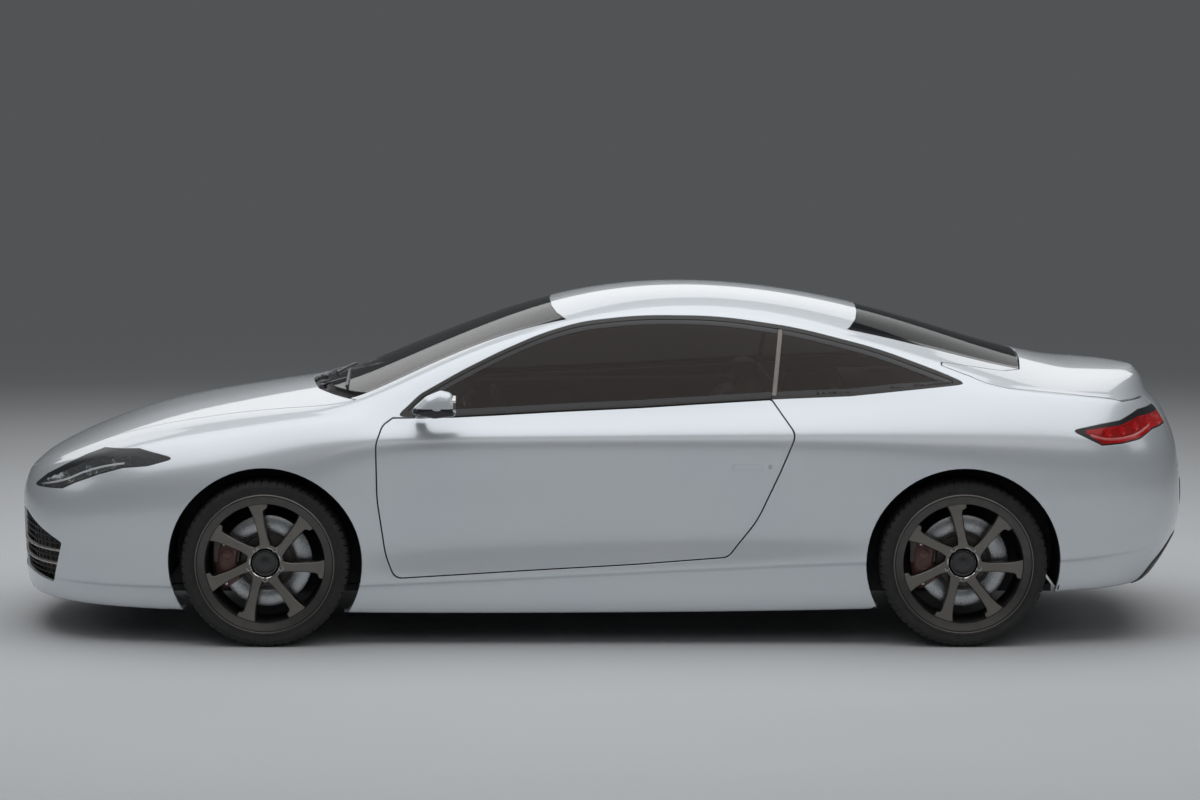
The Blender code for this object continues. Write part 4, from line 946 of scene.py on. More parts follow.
WHEEL_FACE = varied("wheel_face", (.185, .170, .152), (.215, .200, .178), .34, .05, 16, .72, Coat_Weight=.35,
                    Coat_Roughness=.18)
WHEEL_DARK = varied("wheel_dark", (.030, .028, .027), (.042, .040, .038), .42, .08, 20, .55)
WHEEL_LIP = varied("wheel_lip", (.085, .082, .078), (.105, .100, .095), .36, .06, 24, .65)
POLISHED = varied("polished_alloy", (.66, .66, .65), (.74, .74, .73), .12, .04, 30, 1.0)
CAP_BLACK = varied("cap_black", (.020, .019, .020), (.028, .027, .028), .24, .05, 40, .2, Coat_Weight=.5)
DISC_STEEL = varied("disc_face", (.44, .45, .46), (.50, .51, .52), .30, .05, 40, 1.0)
CALIPER_PAINT = varied("caliper_paint", (.13, .062, .052), (.17, .082, .068), .40, .06, 30, .25,
                       Coat_Weight=.3)
LAMP_DARK = varied("lamp_dark", (.010, .010, .011), (.018, .016, .016), .22, .05, 40, .3)
LAMP_SILVER = varied("lamp_silver", (.62, .64, .66), (.72, .74, .76), .18, .05, 25, 1.0)
BRONZE_RING = varied("bronze_ring", (.30, .19, .125), (.38, .25, .17), .20, .05, 40, 1.0)
UNIT_GLASS = varied("unit_glass", (.10, .105, .115), (.15, .155, .165), .05, .01, 30, .2, Coat_Weight=1.0,
                    Coat_Roughness=.02)
LIGHT_GUIDE = varied("light_guide", (.74, .76, .78), (.82, .84, .86), .22, .04, 40, Coat_Weight=.6)
# Pale pink bar colour in the tail lamps: a painted highlight on the red lamp
PAINTED_HIGHLIGHT_PINK = varied("painted_highlight_pink", (.92, .52, .50), (.95, .60, .58), .24, .04, 40, Coat_Weight=.6)
TAIL_RED = varied("tail_red", (.72, .014, .016), (.84, .022, .024), .26, .06, 60, .2, Coat_Weight=.8)
SLAT_METAL = varied("slat_metal", (.50, .46, .42), (.58, .54, .49), .30, .06, 40, .85)
WIPER_GREY = varied("wiper_arm", (.10, .10, .11), (.14, .14, .15), .34, .06, 40, .3)
SEAT_CLOTH = varied("seat_leather", (.105, .070, .052), (.135, .092, .070), .52, .08, 26, grain=.0012,
                    grain_scale=420, Coat_Weight=.12)
LEATHER_BLACK = varied("wheel_leather", (.020, .019, .018), (.030, .028, .027), .46, .08, 60, grain=.0008,
                       grain_scale=520)
CABIN_PLASTIC = varied("cabin_plastic", (.030, .029, .028), (.042, .040, .039), .60, .06, 30, grain=.0008,
                       grain_scale=650)
LINING = varied("cabin_lining", (.075, .072, .070), (.095, .092, .090), .86, .05, 50, grain=.0008,
                grain_scale=520)
CARPET = varied("carpet", (.022, .021, .020), (.034, .033, .032), .92, .05, 90, grain=.003, grain_scale=700)
SCREEN_DARK = varied("dark_display", (.008, .009, .010), (.012, .013, .015), .10, .04, 30, Coat_Weight=.8)
BROW_BLACK = varied("lamp_brow", (.010, .010, .011), (.015, .015, .016), .32, .04, 30)


# Mesh builder for the detailed pieces
def quads(lines, points, loop_lines=False, loop_points=True):
    """Faces between neighbouring lines of points; a loop also joins the last to the first."""
    faces = []
    for q in range(lines if loop_lines else lines - 1):
        here, there = q * points, (q + 1) % lines * points
        for k in range(points if loop_points else points - 1):
            ahead = (k + 1) % points
            faces.append([here + k, here + ahead, there + ahead, there + k])
    return faces


def caps(lines, points):
    """Faces that close the first and the last line."""
    last = (lines - 1) * points
    return [list(range(points))[::-1], list(range(last, last + points))]


def polar(centre, radius, angle, y=0.0):
    """Point at a radius and an angle from upright, about an axis along Y."""
    return (centre[0] + radius * math.sin(angle), centre[1] + y, centre[2] + radius * math.cos(angle))


class Shape:
    """Verts, faces and material slots gathered for one object."""

    def __init__(self):
        self.verts, self.faces, self.slots = [], [], []

    def add(self, verts, faces, slot=0):
        """Append faces whose indices count from the first of these verts."""
        base = len(self.verts)
        self.verts.extend(tuple(float(c) for c in v) for v in verts)
        self.faces.extend([base + int(i) for i in face] for face in faces)
        self.slots.extend(list(slot) if isinstance(slot, (list, tuple)) else [slot] * len(faces))
        return self

    def ring(self, profile, centre, sides, slot=0, closed=True, start=0.0, stop=360.0):
        """Profile of (radius, y) turned about an axis along Y."""
        whole = stop - start >= 360
        angles = np.radians(np.linspace(start, stop, sides, endpoint=not whole))
        n, m = len(profile), len(angles)
        verts = [polar(centre, r, a, y) for a in angles for r, y in profile]
        pick = slot if isinstance(slot, (list, tuple)) else [slot] * n
        faces = quads(m, n, whole, closed)
        slots = list(pick[:n if closed else n - 1]) * (m if whole else m - 1)
        if not whole and closed:
            faces += caps(m, n)
            slots += [pick[0], pick[0]]
        return self.add(verts, faces, slots)

    def turned(self, profile, sides, mover, slot=0, closed=False):
        """Profile turned at the origin and then moved into place."""
        first = len(self.verts)
        return self.ring(profile, (0, 0, 0), sides, slot, closed).moved(mover, first)

    def plate(self, outline, plane, low, high, bevel=0.0, slot=0, steps=4):
        """Outline with corner radii, from low to high across its plane, with chamfered rims."""
        levels = [(low, 0.0), (high, 0.0)]
        if bevel:
            levels = [(low, -bevel), (low + bevel, 0.0), (high - bevel, 0.0), (high, -bevel)]
        rings = [rounded(outline, grow, steps) for _, grow in levels]
        n = min(len(r) for r in rings)
        across = {"xz": lambda p, c: (p[0], c, p[1]), "yz": lambda p, c: (c, p[0], p[1])}[plane]
        verts = [across(p, level) for (level, _), ring in zip(levels, rings) for p in ring[:n]]
        return self.add(verts, quads(len(levels), n) + caps(len(levels), n), slot)

    def box(self, low, high, bevel=0.002, slot=0):
        """Block between two corners, with chamfered rims on its sides."""
        outline = ((low[0], low[2]), (high[0], low[2]), (high[0], high[2]), (low[0], high[2]))
        return self.plate(outline, "xz", low[1], high[1], bevel, slot)

    def tube(self, points, radius, sides=10, slot=0, flat=1.0):
        """Round or flattened bar along a line of points, with closed ends."""
        points = np.asarray(points, float)
        ahead = np.gradient(points, axis=0)
        ahead /= np.linalg.norm(ahead, axis=1, keepdims=True)
        up = np.array([0.0, 0.0, 1.0]) if abs(ahead[0][2]) < .9 else np.array([1.0, 0.0, 0.0])
        verts = []
        radii = np.broadcast_to(np.asarray(radius, float), (len(points),))
        for p, a, r in zip(points, ahead, radii):
            one = np.cross(a, up)
            one /= np.linalg.norm(one)
            two = np.cross(one, a)
            for k in range(sides):
                w = 2 * math.pi * k / sides
                verts.append(p + one * (r * math.cos(w)) + two * (r * flat * math.sin(w)))
        return self.add(verts, quads(len(points), sides) + caps(len(points), sides), slot)

    def tubes(self, line, *rest, **more):
        """Bar along a line of points, and its mirror image."""
        return self.tube(line, *rest, **more).tube(line * FLIP, *rest, **more)

    def loft(self, rings, slot=0):
        """Closed skin over rings of equal length."""
        rings = np.asarray(rings, float)
        count, n = rings.shape[:2]
        return self.add(rings.reshape(-1, 3), quads(count, n) + caps(count, n), slot)

    def grid(self, points, flip=False, slot=0):
        """Open skin over rows of points."""
        faces = quads(*points.shape[:2], False, False)
        return self.add(points.reshape(-1, 3), [face[::-1] for face in faces] if flip else faces, slot)

    def moved(self, function, first=0):
        """Apply a function to the points added since first."""
        self.verts[first:] = [tuple(function(np.array(v))) for v in self.verts[first:]]
        return self

    def build(self, name, *materials, sharp=34):
        """Mesh object with its faces turned outward and edges over sharp degrees kept hard."""
        mesh = bpy.data.meshes.new(name)
        mesh.from_pydata(self.verts, [], self.faces)
        for material in materials:
            mesh.materials.append(material)
        mesh.polygons.foreach_set("material_index", np.asarray(self.slots, np.int32))
        bm = bmesh.new()
        bm.from_mesh(mesh)
        bmesh.ops.recalc_face_normals(bm, faces=bm.faces)
        bm.to_mesh(mesh)
        bm.free()
        mesh.polygons.foreach_set("use_smooth", [True] * len(mesh.polygons))
        mesh.set_sharp_from_angle(angle=math.radians(sharp))
        obj = bpy.data.objects.new(name, mesh)
        bpy.context.scene.collection.objects.link(obj)
        return obj


# Body panels
WHOLE, SIDED = ("front_bumper", "roof", "rear_bumper"), ("front_wing", "sill", "roof_rail", "rear_wing")
WING_FLANGE, LID_FLANGE, LID_DEPTH = 0.009, 0.012, 0.016
DOOR_FORM = {"flange": .007, "back": .009}
DOOR_INNER_FORM = {"near": .016, "roll": .004, "flange": .040, "back": .046}
SHELL = Cutout(WHOLE + SIDED)
for label in WHOLE:
    dress(panel(label + "_skin", {label: PAINT}, SHELL, both=True), "body", "body_paint", label)
for label in SIDED:
    depth = WING_FLANGE if label == "front_wing" else FLANGE
    pair(panel(label + "_skin", {label: PAINT}, SHELL, flange=depth), "body", "body_paint", label)
for label in ("bonnet", "boot_lid"):
    made = panel(label + "_skin", {label: PAINT}, both=True, flange=LID_FLANGE, back=LID_DEPTH)
    dress(made, label, "body_paint", label)
made = panel("door_skin", {"door": PAINT, "door_core": PAINT}, **DOOR_FORM)
pair(made, "door", "body_paint", "door")
made = panel("door_inner", {"door_core": SATIN_BLACK}, **DOOR_INNER_FORM)
pair(made, "door", "interior")


# Glass: tinted sheets with a black border, and the seals round them
def sheet(name, label, tint, inset=GLASS_INSET, both=False):
    """Pane of one label with its black border."""
    kinds = {label: tint, label + "_frit": FRIT_BLACK}
    return panel(name, kinds, near=inset, roll=GLASS_ROLL, flange=GLASS - GLASS_ROLL, back=GLASS, both=both)


for label, tint in (("windscreen", SCREEN_GLASS), ("rear_window", REAR_GLASS)):
    dress(sheet(label + "_glass", label, tint, SCREEN_INSET, True), "body", "screen_glass", label)
for label, body in (("door_glass", "door"), ("quarter_glass", "body")):
    pair(sheet(label + "_sheet", label, SIDE_GLASS), body, "side_glass", label)
# Seals: name, label, body, material, depth under the skin, flange
SEALS = (("side_seal", "seal", "body", RUBBER_SEAL, .0015, .012),
         # The split moulding's lighter brown colour is partly a painted edge highlight
         ("split_moulding", "split_trim", "body", TRIM_PAINTED_HIGHLIGHT, .002, .010),
         ("belt_seal", "belt_seal", "door", RUBBER_SEAL, .001, .012))
for name, label, body, kind, near, flange in SEALS:
    pair(panel(name, {label: kind}, near=near, roll=.003, flange=flange), body, "black_trim")


# Wheels: tyre with tread, rim with seven spokes, disc and caliper
TREAD_BLOCKS = 64
# Along each block: share of the pitch, and whether the tread is sunk there
GROOVE = ((0.0, 0), (.80, 0), (.83, 1), (.97, 1))
GROOVE_SLANT, SHOULDER_Y = 0.35, 0.036
SPOKES = 7
SPOKE_START = 8.0
NUTS, NUT_CIRCLE = 5, 0.0655
RIM_RADIUS = 0.269
DISC_RADIUS = 0.18
HALF_TYRE = (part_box("tyre_front_left")[1].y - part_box("tyre_front_left")[0].y) / 2
# Half of a spoke's face: distance from the hub, width on either side of its line
SPOKE_FACE = ((.058, .020, .034), (.076, .011, .029), (.100, .009, .025), (.140, .013, .0215),
              (.172, .017, .0215), (.200, .0225, .0225), (.209, .025, .027), (.214, .027, .040),
              (.226, .031, .043), (.2385, .036, .045))


def tyre_profile():
    """Closed section of the tyre: sidewall, shoulder, ribs and grooves."""
    w, r = HALF_TYRE, TYRE_RADIUS
    side = [(RIM_RADIUS - .006, w - .020), (RIM_RADIUS - .001, w - .010), (RIM_RADIUS + .006, w - .0035),
            (RIM_RADIUS + .010, w - .0012), (RIM_RADIUS + .013, w - .0030), (RIM_RADIUS + .020, w - .0006),
            (RIM_RADIUS + .031, w), (RIM_RADIUS + .0315, w + .0006), (RIM_RADIUS + .034, w + .0006),
            (RIM_RADIUS + .0345, w - .0002), (r - .016, w - .0035), (r - .010, w - .0075),
            (r - .0045, w - .014)]
    top = [(r - .0018, w - .022), (r - .0008, w - .034)]
    for middle in (.068, .026):
        top += [(r, middle + .0065), (r - .0065, middle + .0045), (r - .0065, middle - .0045),
                (r, middle - .0065)]
    half = side + top
    return half + [(radius, -y) for radius, y in reversed(half)]


def tread_depth(profile):
    """How far each point of the section sinks in a cross groove."""
    depth = []
    for radius, y in profile:
        on_block = radius > TYRE_RADIUS - .011 and abs(y) > SHOULDER_Y
        depth.append(.0055 if on_block and radius > TYRE_RADIUS - .0063 else (.002 if on_block else 0.0))
    return np.array(depth)


def tyre(centre):
    """Tyre with cross grooves that run slanted over the shoulders."""
    profile = np.array(tyre_profile())
    depth = tread_depth(profile)
    pitch = 2 * math.pi / TREAD_BLOCKS
    verts = []
    for k in range(TREAD_BLOCKS):
        for share, sunk in GROOVE:
            for (radius, y), low in zip(profile, depth):
                a = (k + share) * pitch + GROOVE_SLANT * abs(y) * (1 if abs(y) > SHOULDER_Y else 0)
                verts.append(polar(centre, radius - low * sunk, a, y))
    shape = Shape().add(verts, quads(TREAD_BLOCKS * len(GROOVE), len(profile), True, False))
    inner = [(RIM_RADIUS - .006, HALF_TYRE - .020), (RIM_RADIUS - .006, -HALF_TYRE + .020)]
    return shape.ring(inner, centre, 96, closed=False)


def spoke(shape, centre, angle):
    """One spoke: flat face with a chamfered rim and deep sides."""
    a = math.radians(angle)
    along = np.array([math.sin(a), math.cos(a)])
    across = np.array([math.cos(a), -math.sin(a)])

    def point(reach, offset, y):
        """Point by its distance from the hub, its offset from the spoke's line and y."""
        flat = along * reach + across * offset
        return (centre[0] + flat[0], centre[1] + y, centre[2] + flat[1])

    def face_y(reach):
        """Y of the spoke's face at a distance from the hub."""
        return .089 + .009 * (reach - .058) / .18

    left = [(r, a1) for r, a1, _ in SPOKE_FACE]
    right = [(r, -a2) for r, _, a2 in SPOKE_FACE]
    loop = left + right[::-1]
    rings = []
    for inset, drop in ((.0028, 0.0), (0.0, .0028), (-.0015, .020), (-.0035, None)):
        ring = []
        for reach, offset in loop:
            sign = 1 if offset > 0 else -1
            deep = face_y(reach) - (.040 if reach < .12 else .034) if drop is None else face_y(reach) - drop
            ring.append(point(reach, offset - sign * inset, deep))
        rings.append(ring)
    n = len(loop)
    faces = quads(len(rings), n)
    slots = [0] * n + [1] * (len(faces) - n)
    low = (len(rings) - 1) * n
    for k in range(len(left) - 1):
        faces.append([k, k + 1, n - 2 - k, n - 1 - k])
        faces.append([low + n - 1 - k, low + n - 2 - k, low + k + 1, low + k])
        slots += [0, 1]
    shape.add([v for ring in rings for v in ring], faces, slots)


def rim(centre):
    """Barrel, lip, spokes, hub, cap and wheel nuts; slots are face, dark paint, polished and cap."""
    w = HALF_TYRE
    shape = Shape()
    shape.ring([(RIM_RADIUS + .0035, w - .0075), (RIM_RADIUS + .0045, w - .0045),
                (RIM_RADIUS + .002, w - .0025), (RIM_RADIUS - .001, w - .0035),
                (RIM_RADIUS - .003, w - .008), (RIM_RADIUS - .006, w - .0095), (.2400, w - .0175),
                (.2350, w - .0190), (.2325, w - .0230), (.2300, w - .060), (.222, -.02), (.222, -.06),
                (.244, -w + .016), (RIM_RADIUS, -w + .004), (RIM_RADIUS + .004, -w + .006),
                (RIM_RADIUS - .005, -w + .014), (RIM_RADIUS - .012, -.05), (RIM_RADIUS - .012, .05),
                (RIM_RADIUS - .006, w - .014)],
               centre, 128, [0, 0, 0, 1, 1, 4, 4, 1, 1, 1, 1, 1, 1, 1, 1, 1, 1, 1, 1])
    for k in range(SPOKES):
        spoke(shape, centre, SPOKE_START + k * 360 / SPOKES)
    shape.ring([(.0720, .0875), (.0735, .0840), (.0745, .050), (.040, .046), (.040, .070), (.0520, .0725),
                (.0535, .0800), (.0580, .0868), (.0620, .0893), (.0700, .0893)],
               centre, 84, [0, 1, 1, 1, 1, 2, 2, 2, 0, 0])
    shape.ring([(.0500, .0700), (.0500, .0845), (.0485, .0865), (.0440, .0872), (.0425, .0855),
                (.0405, .0850), (.0200, .0868), (.0000, .0874)],
               centre, 64, 3, closed=False)
    for k in range(NUTS):
        at = polar(centre, NUT_CIRCLE, math.radians(36 + 360 / NUTS * k))
        shape.ring([(.0095, .0880), (.0095, .0898), (.0080, .0906), (.0075, .0900), (.0065, .0860),
                    (.0055, .0860)], at, 18, 2)
        shape.ring([(.0068, .0850), (.0068, .0885), (.0055, .0892), (.0, .0892)], at, 6, 1, closed=False)
    return shape


def disc(centre):
    """Vented disc with a bell and vanes between its faces."""
    r = DISC_RADIUS
    shape = Shape()
    shape.ring([(r, .0125), (r - .002, .0138), (.116, .0138), (.114, .0125), (.106, .0125), (.100, .0190),
                (.060, .0196), (.048, .0196), (.048, .0130), (.098, .0120), (.104, .0060), (.112, .0050),
                (r - .002, .0050), (r, .0040)],
               centre, 96, [0, 0, 1, 1, 1, 1, 1, 1, 1, 1, 1, 0, 0, 0])
    shape.ring([(r, -.0040), (r - .002, -.0050), (.116, -.0050), (.112, -.0050), (.112, -.0125),
                (r - .002, -.0138), (r, -.0125)],
               centre, 96, 0)
    for k in range(36):
        a = math.radians(k * 10)
        vane = [polar(centre, q, a + .2 * (q - .12) / .06) for q in (.118, .138, .158, .176)]
        shape.tube(vane, .0046, 4, 1)
    return shape


def caliper(centre):
    """Fixed caliper that straddles the disc on its front side."""
    shape = Shape()
    start, stop, steps = 62.0, 124.0, 18
    outline = [(.112, .018), (.112, .036), (.120, .043), (.150, .045), (.186, .041), (.2005, .030),
               (.2045, .0), (.2005, -.030), (.186, -.041), (.150, -.045), (.120, -.043), (.112, -.036),
               (.112, -.018), (.184, -.018), (.184, .018)]
    rings = []
    for k in range(steps + 1):
        share = k / steps
        a = math.radians(start + (stop - start) * share)
        edge = min(share, 1 - share) * steps
        pull = 1.0 if edge >= 2 else (.90, .97)[int(edge)]
        ring = []
        for radius, y in outline:
            ring.append(polar(centre, .158 + (radius - .158) * pull, a, y * (pull if abs(y) > .02 else 1)))
        rings.append(ring)
    shape.loft(rings, 0)
    for share in (.27, .73):
        at = polar(centre, .152, math.radians(start + (stop - start) * share))
        shape.ring([(.021, .0440), (.021, .0465), (.0185, .0480), (.0, .0480)], at, 24, 0, closed=False)
    for share in (.08, .92):
        at = polar(centre, .176, math.radians(start + (stop - start) * share))
        shape.ring([(.0075, .0400), (.0075, .0470), (.006, .0485), (.0, .0485)], at, 6, 1, closed=False)
    return shape


for end, x in (("front", X_FRONT), ("rear", X_REAR)):
    centre = (x, WHEEL_Y, WHEEL_Z)
    wheel_body = end + "_wheel"
    pair(tyre(centre).build("tyre_tread_" + end, TYRE_RUBBER), wheel_body, "tyre", "tyre_" + end)
    pair(rim(centre).build("wheel_" + end, WHEEL_FACE, WHEEL_DARK, POLISHED, CAP_BLACK, WHEEL_LIP),
         wheel_body, "wheel_alloy", "rim_" + end)
    pair(disc(centre).build("brake_disc_" + end, DISC_STEEL, CAST), wheel_body, "steel", "disc_" + end)
    pair(caliper(centre).build("caliper_" + end, CALIPER_PAINT, STEEL),
         "knuckle" if end == "front" else "body", "cast_metal")


# Lamps
def bowl(name, labels, depth, rim, materials, pick, slope=1.2):
    """Hollow behind a lens: its rim follows the cut-out, its floor lies deeper."""
    cutout = Cutout(labels)
    edge = np.array(sorted(cutout.inward))
    used = np.unique(cutout.triangles)
    gap = np.linalg.norm(POINTS[used][:, None] - POINTS[edge][None], axis=2).min(1)
    sink = rim + np.minimum(depth - rim, gap * slope)
    verts = POINTS[used] - NORMALS[used] * sink[:, None]
    for k, v in enumerate(used):
        if v in cutout.inward:
            verts[k] += cutout.inward[v][0] * .0015
    index = {v: k for k, v in enumerate(used)}
    faces = [[index[v] for v in triangle] for triangle in cutout.triangles]
    middles = verts[np.array(faces)].mean(1)
    slots = [int(pick(m)) for m in middles]
    return new_object(name, verts, faces, materials, slots)


def top_points(s, t, depth):
    """Points at a depth under the skin."""
    return surface(s, t) - outward(s, t) * depth


def skin_points(flat, s_range, t_range, depth=0.0):
    """Points under the skin at a list of side-view (x, z) points."""
    st = locate(np.array(flat, float), "xz", s_range, t_range)
    st = st[~np.isnan(st[:, 0])]
    return top_points(st[:, 0], st[:, 1], depth)


def eased(points, step=.004):
    """Points spread evenly along a smooth curve through the given ones."""
    points = np.asarray(points, float)
    gaps = np.linalg.norm(np.diff(points, axis=0), axis=1) ** .5
    at = np.concatenate([[0], np.cumsum(gaps)])
    slopes = np.gradient(points, at, axis=0)
    result = []
    for k in range(len(points) - 1):
        h = at[k + 1] - at[k]
        count = max(2, int(np.linalg.norm(points[k + 1] - points[k]) / step))
        for u in np.arange(count) / count:
            a, c = 2 * u ** 3 - 3 * u ** 2 + 1, -2 * u ** 3 + 3 * u ** 2
            b, d = u ** 3 - 2 * u ** 2 + u, u ** 3 - u ** 2
            result.append(a * points[k] + b * h * slopes[k] + c * points[k + 1] + d * h * slopes[k + 1])
    result.append(points[-1])
    return np.array(result)


def aimed(at, direction):
    """Mover that turns +Y to a direction and brings the origin to a point."""
    turn = Vector((0, 1, 0)).rotation_difference(Vector(direction).normalized()).to_matrix()
    return lambda v: at + np.array(turn @ Vector(v))


HEAD_ZONE, TAIL_ZONE = ((.6, 7), (3.6, 9)), ((17.5, 23), (4, 8))
LENS_FORM = {"near": .0006, "roll": .0012, "flange": .004}
LAMP_LINE = ((2.222, .606), (2.180, .618), (2.105, .642), (2.030, .676), (1.945, .703), (1.860, .719),
             (1.770, .725))
made = panel("headlamp_lens", {"headlamp": LENS, "lamp_brow": BROW_BLACK}, **LENS_FORM)
pair(made, "body", "lamp_clear", "headlamp")
line_x, line_z = np.array(LAMP_LINE[::-1]).T
made = bowl("headlamp_bowl", ("headlamp", "lamp_brow"), .040, .0045, (LAMP_DARK, LAMP_SILVER),
            lambda m: m[2] < np.interp(m[0], line_x, line_z) + .012 and m[0] > 1.84)
pair(made, "body", "black_trim")
shape = Shape()
line = skin_points(eased(LAMP_LINE[:-1], .02), *HEAD_ZONE, .0125)
shape.tube(eased(line, .006), .0042, 8, 1)
for (x, z), size, depth in (((2.118, .664), .026, .052), ((2.020, .700), .030, .052),
                            ((1.905, .728), .020, .040)):
    mover = aimed(skin_points([(x, z)], *HEAD_ZONE, depth)[0], (.93, .36, .04))
    shape.turned([(size + .006, -.010), (size + .007, .012), (size + .004, .016), (size, .008),
                  (size * .96, -.002), (size * .5, -.010)], 40, mover, [0, 2, 2, 3, 3, 0], True)
    shape.turned([(size * .97, .000), (size * .88, .010), (size * .62, .018), (size * .32, .0225),
                  (0, .024)], 36, mover, 4)
pair(shape.build("headlamp_units", LAMP_DARK, LIGHT_GUIDE, POLISHED, BRONZE_RING, UNIT_GLASS), "body",
     "lamp_clear")

# Line of the pale pink tube in each tail lamp, along which a highlight is painted
TAIL_HIGHLIGHT_LINE = ((-1.905, .8330), (-1.960, .8185), (-2.030, .8165), (-2.100, .8280), (-2.160, .8520))
made = panel("tail_lens", {"tail_lamp": RED_LENS, "tail_brow": BROW_BLACK}, **LENS_FORM)
pair(made, "body", "lamp_red", "tail_lamp")
made = bowl("tail_bowl", ("tail_lamp", "tail_brow"), .034, .0045, (TAIL_RED, LAMP_SILVER), lambda m: False)
pair(made, "body", "lamp_red")
shape = Shape()
# Pale pink tube: its colour is a painted highlight
line = skin_points(eased(TAIL_HIGHLIGHT_LINE, .02), *TAIL_ZONE, .010)
shape.tube(eased(line, .006), .0055, 8, 0)
for (x, z), size in (((-2.165, .874), .017), ((-2.105, .862), .015), ((-2.045, .848), .013),
                     ((-1.985, .840), .011)):
    for spot in skin_points([(x, z)], *TAIL_ZONE, .020):
        shape.turned([(size + .003, -.006), (size + .003, .006), (size, .008), (size * .7, .001),
                      (size * .3, -.003), (0, -.004)], 28, aimed(spot, (-.80, .60, .05)), 1)
pair(shape.build("tail_units", PAINTED_HIGHLIGHT_PINK, TAIL_RED), "body", "lamp_red")


# Intake: dark backing, thin blades and two pale ones that follow the nose
def contour(height, depth, s0=.16, s1=3.5, count=70):
    """Level line of the nose at a height, some way under the skin."""
    s = np.linspace(s0, s1, count)
    st = solve_row(lambda a, b: surface(a, b)[:, 2] - height, s, .9, 5.2)
    return top_points(st[:, 0], st[:, 1], depth)


def nose_sheet(shape, depth, slot):
    """Both halves of the sheet behind the intake."""
    s, t = np.meshgrid(np.linspace(0, 3.55, 46), np.linspace(1.05, 4.85, 26), indexing="ij")
    points = top_points(s, t, depth)
    points[0, :, 1] = 0
    shape.grid(points, False, slot).grid(points * FLIP, True, slot)


shape = Shape()
nose_sheet(shape, .039, 0)
for height in (.252, .274, .325, .378, .402, .426, .450, .474):
    shape.tubes(contour(height, .018), .0042, 8, 0, flat=.8)
for height in (.298, .352):
    shape.tubes(contour(height, .013), .0075, 12, 1, flat=.85)
for s in np.linspace(.5, 3.3, 15):
    t = np.linspace(1.2, 4.7, 22)
    shape.tubes(top_points(np.full_like(t, s), t, .027), .0028, 6, 0)
dress(shape.build("intake_grille", SATIN_BLACK, SLAT_METAL), "body", "black_trim", "front_grille")


# Mirrors
def mirror_housing():
    """Shell by rings across its width: silver cap over a black base; the glass at its back is built apart."""
    outline = np.array(rounded(((.728, .925, .018), (.7185, .9465), (.716, .950, .02), (.672, .990, .05),
                                (.615, 1.014, .035), (.572, 1.004, .030), (.556, .965, .03), (.556, .9465),
                                (.556, .914, .016), (.640, .905, .05)), 0, 8))
    middle = np.array([.638, .9465])
    shape = Shape()
    rings = []
    for y, size in ((.929, .30), (.9295, .62), (.931, .80), (.936, .90), (.946, .965), (.962, 1.0),
                    (.984, 1.0), (1.000, .965), (1.012, .90), (1.021, .79), (1.0265, .64), (1.029, .42),
                    (1.0298, .18)):
        flat = middle + (outline - middle) * size
        flat[:, 0] -= (1 - size) * .012
        rings.append([(p[0], y, p[1]) for p in flat])
    shape.loft(rings, 0)
    for k, face in enumerate(shape.faces):
        points = np.array([shape.verts[v] for v in face]).mean(0)
        shape.slots[k] = 1 if points[2] < middle[1] - .0002 else 0
    return shape


shape = mirror_housing()
pair(shape.build("mirror_housing", PAINT, BLACK_TRIM, sharp=50), "door", "body_paint", "mirror")
shape = Shape()
foot = []
for y, x0, x1, z0, z1 in ((.868, .676, .720, .893, .905), (.882, .672, .719, .894, .909),
                          (.900, .664, .717, .899, .918), (.930, .640, .715, .906, .932),
                          (.950, .622, .700, .912, .945)):
    flat = rounded(((x0, z0, .006), (x1, z0, .008), (x1 - .006, z1, .006), (x0 + .010, z1, .008)), 0, 3)
    foot.append([(p[0], y, p[1]) for p in flat])
shape.loft(foot, 0)
pair(shape.build("mirror_foot", BLACK_TRIM), "door", "black_trim")
shape = Shape()
glass_outline = ((.946, .925, .014), (1.018, .930, .016), (1.012, .985, .022), (.950, .996, .018))
shape.plate(glass_outline, "yz", .5548, .5700, .001, 0, 6)
pair(shape.build("mirror_glass", POLISHED), "door", "steel")


# Cowl panel with slots, and two wipers parked on the windscreen
shape = Shape()
rows = []
t = np.linspace(7.92, CENTRE, 60)
for k in range(16):
    share = k / 15
    s = COWL_FRONT(t) - .10 + (SCREEN_OFFSET + .22) * share
    depth = .020 + .014 * math.sin(math.pi * min(1.0, share * 1.15)) - .016 * max(0.0, share - .75)
    line = top_points(s, t, depth)
    line[-1, 1] = 0
    rows.append(line)
rows = np.array(rows)
shape.grid(rows, True).grid(rows * FLIP)
t = np.linspace(8.35, 9.9, 30)
for share in (.30, .38, .46, .54):
    shape.tubes(top_points(COWL_FRONT(t) - .10 + (SCREEN_OFFSET + .22) * share, t, .031), .0022, 6, 1)
dress(shape.build("cowl_panel", SATIN_BLACK, BLACK_TRIM), "body", "black_trim", "cowl")


def wiper(shape, start, elbow, tip_a, tip_b):
    """Arm from its spindle to the blade; points are (station, row, height over the skin, side)."""

    def at(p):
        """Place of one such point."""
        q = top_points(np.array([p[0]]), np.array([p[1]]), -p[2])[0]
        return q * [1, p[3], 1]

    arm = eased([at(start), at(elbow), (at(tip_a) + at(tip_b)) / 2 + [0, 0, .005]], .012)
    shape.tube(arm, np.linspace(.0085, .0045, len(arm)), 8, 0, flat=.6)
    blade = eased([at(tip_a), (at(tip_a) * .5 + at(tip_b) * .5) + [0, 0, .002], at(tip_b)], .02)
    shape.tube(blade, .0055, 8, 0, flat=1.3)
    base = at(start)
    shape.turned([(.016, -.010), (.016, .006), (.012, .010), (0, .011)], 18,
                 lambda v: base + np.array([v[0], v[2], v[1]]))


